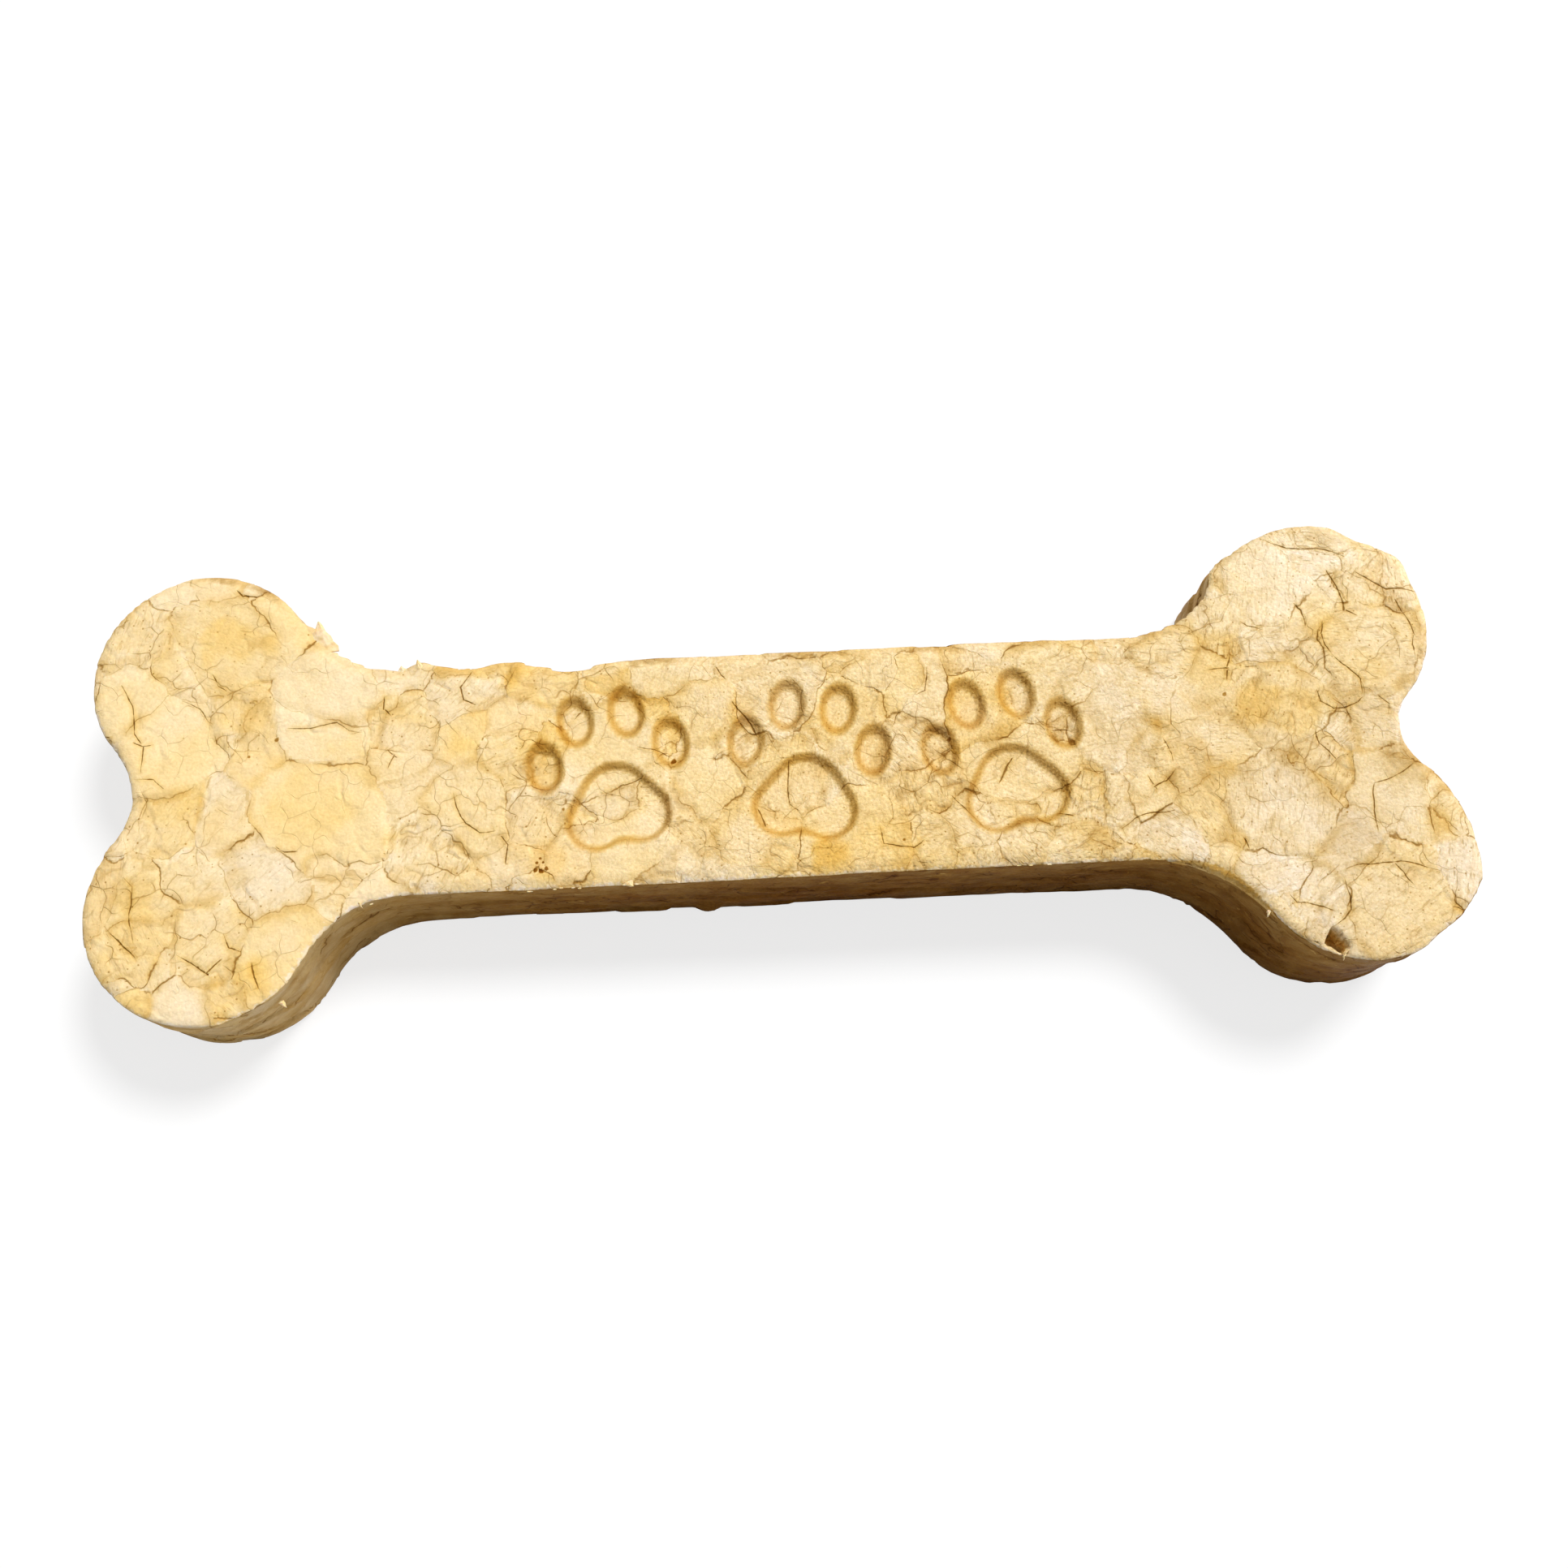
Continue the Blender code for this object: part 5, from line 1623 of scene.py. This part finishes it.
def side_depth(wires, marks, most):
    """How deep the colour of the side is, nothing on the faces; deeper in front and in a nook by painted
    shade.
    """
    deeper = wires.spread(marks.above, 20.0, 9.0, SIDE_TOP, SIDE_BASE)
    return wires.product(marks.side, wires.attribute("shade"), deeper, marks.layers, most)


def fine_relief(wires, marks):
    """The height of what is too fine for the mesh, in millimetres."""
    return wires.total(
        wires.product(marks.crack, -0.12),
        wires.product(marks.seam, -0.08),
        wires.product(marks.fragment_line, marks.face, -0.05),
        wires.product(marks.valley, marks.creased, -0.10),
        wires.product(marks.fold, marks.calm, marks.face, -0.10),
        wires.product(marks.grain, 0.040),
        wires.product(marks.coarse, marks.fibre, 0.035),
        wires.product(marks.coarse, marks.stroke, -0.03),
        wires.product(marks.side, marks.streak, marks.streaked, 0.12),
        wires.product(marks.side, marks.layer_line, marks.streaked, -0.10),
        wires.waver(marks.place, 1.4, 0.045, 2.0),
    )


def collagen_material(colours):
    """Dried collagen: each flake has its own amber and milk, with seams, cracks, fibres and pores."""
    material = bpy.data.materials.new("collagen")
    wires = Wiring(material)
    marks = Marks(wires)
    brown = (colours.brown_loss, brown_depth(wires, marks))
    side = (colours.side_loss, side_depth(wires, marks, colours.side_depth))
    colour = collagen_colour(wires, colours, amber_depth(wires, marks), milk_share(wires, marks), brown, side)
    shader = wires.tree.nodes["Principled BSDF"]
    wires.feed(shader.inputs["Base Color"], colour)
    rough = wires.math("ADD", wires.waver(marks.place, 2.2, 0.10, 2.0), colours.roughness)
    rough = wires.math("ADD", rough, wires.product(marks.crack, 0.2), clamp=True)
    wires.feed(shader.inputs["Roughness"], rough)
    feeds = (("Height", fine_relief(wires, marks)), ("Distance", MM), ("Strength", 1.0))
    relief = wires.add("ShaderNodeBump", feeds)
    wires.feed(shader.inputs["Normal"], relief.outputs[0])
    shader.inputs["Subsurface Weight"].default_value = 0.1
    shader.inputs["Subsurface Radius"].default_value = (1.0, 0.45, 0.18)
    shader.inputs["Subsurface Scale"].default_value = 0.8 * MM
    shader.inputs["Specular IOR Level"].default_value = 0.04
    return material


def shard(work, centre, outward, size, rng):
    """A thin torn sliver with a crooked rim, half sunk in the body."""
    count = int(rng.integers(5, 9))
    lean = rng.uniform(0.1, 1.0)
    out = Vector((outward[0], outward[1], 0.0))
    along = Vector((-outward[1], outward[0], 0.0))
    rise = (out * math.cos(lean) + Vector((0.0, 0.0, math.sin(lean)))).normalized()
    normal = along.cross(rise).normalized()
    half = 0.5 * rng.uniform(*SHARD_THICKNESSES) * MM
    rings = ([], [])
    for index in range(count):
        angle = 2.0 * math.pi * (index + rng.uniform(-0.3, 0.3)) / count
        radius = size * rng.uniform(0.65, 1.15)
        curl = rng.uniform(-0.12, 0.12) * size
        spot = along * (radius * rng.uniform(1.6, 3.4) * math.cos(angle))
        spot += rise * (0.8 * radius * math.sin(angle)) + normal * curl
        for ring, side in zip(rings, (-1.0, 1.0)):
            ring.append(work.verts.new(Vector(centre) + spot + normal * (side * half)))
    work.faces.new(reversed(rings[0]))
    work.faces.new(rings[1])
    for index in range(count):
        after = (index + 1) % count
        work.faces.new((rings[0][index], rings[0][after], rings[1][after], rings[1][index]))


def torn_flap(work, flap, shape, rng):
    """A torn tongue of a flake: thin, ragged and curled, its root sunk in the body."""
    out = Vector((math.cos(flap.turn), math.sin(flap.turn), 0.0))
    along = Vector((-out.y, out.x, 0.0))
    top = shape.thickness + shape.thickness_rise * flap.x * MM - flap.drop * MM
    root = Vector((flap.x * MM, flap.y * MM, top))
    rows = []
    for row in range(FLAP_ROWS):
        share = row / (FLAP_ROWS - 1)
        half = 0.5 * flap.width * MM * (1.0 - 0.93 * share ** 1.3) * rng.uniform(0.88, 1.12)
        drift = flap.lean * flap.width * MM * share + rng.uniform(-0.1, 0.1) * MM
        spine = root + out * (flap.length * MM * share) + along * drift
        spine.z += flap.rise * MM * share * share
        upper, lower = [], []
        for column in range(FLAP_COLUMNS):
            side = 2.0 * column / (FLAP_COLUMNS - 1) - 1.0
            spot = spine + along * (half * side)
            spot.z += rng.uniform(-0.06, 0.06) * MM - 0.12 * MM * side * side
            thick = 0.5 * FLAP_THICKNESS * (1.0 - 0.5 * share) * (1.0 - 0.4 * abs(side))
            upper.append(work.verts.new(spot + Vector((0.0, 0.0, thick))))
            lower.append(work.verts.new(spot - Vector((0.0, 0.0, thick))))
        rows.append((upper, lower))
    for (upper, lower), (next_upper, next_lower) in zip(rows[:-1], rows[1:]):
        for column in range(FLAP_COLUMNS - 1):
            after = column + 1
            work.faces.new((upper[column], next_upper[column], next_upper[after], upper[after]))
            work.faces.new((lower[after], next_lower[after], next_lower[column], lower[column]))
        work.faces.new((upper[0], lower[0], next_lower[0], next_upper[0]))
        work.faces.new((next_upper[-1], next_lower[-1], lower[-1], upper[-1]))
    for upper, lower in (rows[0], rows[-1]):
        work.faces.new((*upper, *reversed(lower)))


def build_fringe(shape):
    """Small torn flakes along the upper rim and a few torn tongues, one joined mesh."""
    rng = np.random.default_rng(FRINGE_SEED)
    outline = pressed_outline(shape.shaft_half_width)
    normals = outward_normals(outline)
    work = bmesh.new()
    frayed = [np.abs(outline[:, 0] - middle * MM) < half * MM for middle, half in FRAYED_STRETCHES]
    torn = np.flatnonzero((normals[:, 1] < -0.3) & np.any(frayed, axis=0))
    for index in rng.choice(torn, FRINGE_COUNT):
        x, y = outline[index]
        top = shape.thickness + shape.thickness_rise * x
        inward = rng.uniform(*SHARD_INSETS) * MM
        drop = rng.uniform(*SHARD_DROPS) * MM
        size = rng.uniform(*SHARD_SIZES) * MM
        centre = (x - normals[index][0] * inward, y - normals[index][1] * inward, top - drop)
        shard(work, centre, normals[index], size, rng)
    for flap in TORN_FLAPS:
        torn_flap(work, flap, shape, rng)
    bmesh.ops.recalc_face_normals(work, faces=work.faces)
    mesh = bpy.data.meshes.new("torn_fringe")
    work.to_mesh(mesh)
    work.free()
    low, high = (np.array(corner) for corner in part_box(NODE))
    write_points(mesh, np.clip(read_points(mesh), low, high))
    return bpy.data.objects.new("torn_fringe", mesh)


def fringe_material(colours):
    """Thin torn flakes, with brown smudges."""
    material = bpy.data.materials.new("torn_collagen")
    wires = Wiring(material)
    place = wires.place()
    amber = wires.total(wires.waver(place, 3.0, 0.3, 2.0), wires.waver(place, 0.6, 0.2, 2.0), 0.05)
    milk = wires.spread(wires.noise(place, 2.0, 2.0), 0.40, 0.7)
    brown = wires.spread(wires.noise(place, 1.8, 2.0), 0.50, 0.68, 0.0, 0.5)
    shader = wires.tree.nodes["Principled BSDF"]
    wires.feed(shader.inputs["Base Color"],
               collagen_colour(wires, colours, amber, milk, (colours.brown_loss, brown)))
    rough = wires.math("ADD", wires.waver(place, 1.5, 0.10, 2.0), colours.roughness)
    wires.feed(shader.inputs["Roughness"], rough)
    shader.inputs["Subsurface Weight"].default_value = 0.3
    shader.inputs["Subsurface Radius"].default_value = (1.0, 0.5, 0.2)
    shader.inputs["Subsurface Scale"].default_value = 0.6 * MM
    return material


def floor_material(colour, shadow_lift):
    """Matt pale paper, whose shadows the camera sees only in part."""
    material = bpy.data.materials.new("pale_paper")
    wires = Wiring(material)
    place = wires.place()
    shade = wires.spread(wires.noise(place, 90.0, 2.0), 0.3, 0.7, 0.985, 1.0)
    tint = wires.add("ShaderNodeVectorMath", ((0, tuple(colour)), ("Scale", shade)), operation="SCALE")
    shader = wires.tree.nodes["Principled BSDF"]
    wires.feed(shader.inputs["Base Color"], tint.outputs["Vector"])
    shader.inputs["Roughness"].default_value = 0.9
    shader.inputs["Specular IOR Level"].default_value = 0.1
    glow = wires.add("ShaderNodeEmission", (("Color", (1.0, 1.0, 1.0, 1.0)), ("Strength", 1.0)))
    seen = wires.add("ShaderNodeLightPath").outputs["Is Camera Ray"]
    lift = wires.product(seen, shadow_lift)
    blend = wires.add("ShaderNodeMixShader", ((0, lift), (1, shader.outputs[0]), (2, glow.outputs[0])))
    wires.feed(wires.tree.nodes["Material Output"].inputs["Surface"], blend.outputs[0])
    return material


def make_floor(colour, shadow_lift):
    bpy.ops.mesh.primitive_plane_add(size=FLOOR_SIZE)
    floor = bpy.context.active_object
    floor.name = "pale_floor"
    floor.data.materials.append(floor_material(colour, shadow_lift))


def sun(name, strength, size, azimuth, elevation):
    """A far lamp that stands in the given direction."""
    lamp = bpy.data.lights.new(name, "SUN")
    lamp.energy = strength
    lamp.angle = size
    holder = bpy.data.objects.new(name, lamp)
    flat = math.cos(elevation)
    towards = Vector((flat * math.cos(azimuth), flat * math.sin(azimuth), math.sin(elevation)))
    holder.rotation_euler = towards.to_track_quat("Z", "Y").to_euler()
    bpy.context.scene.collection.objects.link(holder)


def make_lights(stage):
    """A soft key light from behind on the right, a low fill light, and an even white surrounding."""
    sun("key", stage.key_strength, stage.key_size, stage.key_azimuth, stage.key_elevation)
    sun("fill", stage.fill_strength, stage.fill_size, stage.fill_azimuth, stage.fill_elevation)
    world = bpy.data.worlds.new("surrounding")
    world.use_nodes = True
    tree = world.node_tree
    background = tree.nodes["Background"]
    rays = tree.nodes.new("ShaderNodeLightPath")
    strength = tree.nodes.new("ShaderNodeMapRange")
    strength.inputs["To Min"].default_value = stage.sky_strength
    strength.inputs["To Max"].default_value = 1.0
    tree.links.new(rays.outputs["Is Camera Ray"], strength.inputs["Value"])
    tree.links.new(strength.outputs[0], background.inputs["Strength"])
    background.inputs["Color"].default_value = (1.0, 1.0, 1.0, 1.0)
    bpy.context.scene.world = world


def make_camera():
    lens = bpy.data.cameras.new("camera")
    lens.sensor_width = SENSOR_WIDTH
    lens.lens = CAMERA_LENS
    lens.clip_start = 1.0 * MM
    camera = bpy.data.objects.new("camera", lens)
    camera.location = CAMERA_PLACE
    camera.rotation_euler = CAMERA_TURN
    bpy.context.scene.collection.objects.link(camera)
    bpy.context.scene.camera = camera


def place_piece(piece, material):
    """Give a piece its material and make it ride on the chew's body."""
    piece.data.materials.clear()
    piece.data.materials.append(material)
    bpy.context.scene.collection.objects.link(piece)
    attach(piece, BODY)


class CHEW_OT_press_body(bpy.types.Operator):
    """Press the bone from its flakes and give it its collagen"""

    bl_idname = "chew.press_body"
    bl_label = "Press Bone"

    def execute(self, context):
        body = build_body(context.scene.chew_shape)
        place_piece(body, collagen_material(context.scene.chew_colours))
        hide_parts(NODE)
        return {"FINISHED"}


class CHEW_OT_tear_fringe(bpy.types.Operator):
    """Leave small torn flakes along the upper rim of the bone"""

    bl_idname = "chew.tear_fringe"
    bl_label = "Tear Fringe"

    def execute(self, context):
        fringe = build_fringe(context.scene.chew_shape)
        place_piece(fringe, fringe_material(context.scene.chew_colours))
        return {"FINISHED"}


class CHEW_OT_set_stage(bpy.types.Operator):
    """Set the pale floor, the lights and the camera"""

    bl_idname = "chew.set_stage"
    bl_label = "Set Stage"

    def execute(self, context):
        stage = context.scene.chew_stage
        make_floor(stage.floor_colour, stage.shadow_lift)
        make_lights(stage)
        make_camera()
        context.scene.view_settings.view_transform = "Standard"
        return {"FINISHED"}


class CHEW_PT_panel(bpy.types.Panel):
    """Buttons and settings of the chew"""

    bl_idname = "CHEW_PT_panel"
    bl_label = "Pressed Chew"
    bl_space_type = "VIEW_3D"
    bl_region_type = "UI"
    bl_category = "Chew"

    def draw(self, context):
        layout = self.layout
        scene = context.scene
        for settings in (scene.chew_shape, scene.chew_colours, scene.chew_stage):
            box = layout.box()
            for name in settings.__annotations__:
                box.prop(settings, name)
        for operator in OPERATORS:
            layout.operator(operator.bl_idname)


SETTINGS = {
    "chew_shape": ChewShapeSettings,
    "chew_colours": ChewColourSettings,
    "chew_stage": ChewStageSettings,
}
OPERATORS = (CHEW_OT_press_body, CHEW_OT_tear_fringe, CHEW_OT_set_stage)


def register():
    for name, settings in SETTINGS.items():
        bpy.utils.register_class(settings)
        setattr(bpy.types.Scene, name, PointerProperty(type=settings))
    for operator in OPERATORS:
        bpy.utils.register_class(operator)
    bpy.utils.register_class(CHEW_PT_panel)


def unregister():
    bpy.utils.unregister_class(CHEW_PT_panel)
    for operator in reversed(OPERATORS):
        bpy.utils.unregister_class(operator)
    for name, settings in SETTINGS.items():
        delattr(bpy.types.Scene, name)
        bpy.utils.unregister_class(settings)


def main():
    register()
    bpy.ops.chew.press_body()
    bpy.ops.chew.tear_fringe()
    bpy.ops.chew.set_stage()


if __name__ == "__main__":
    main()
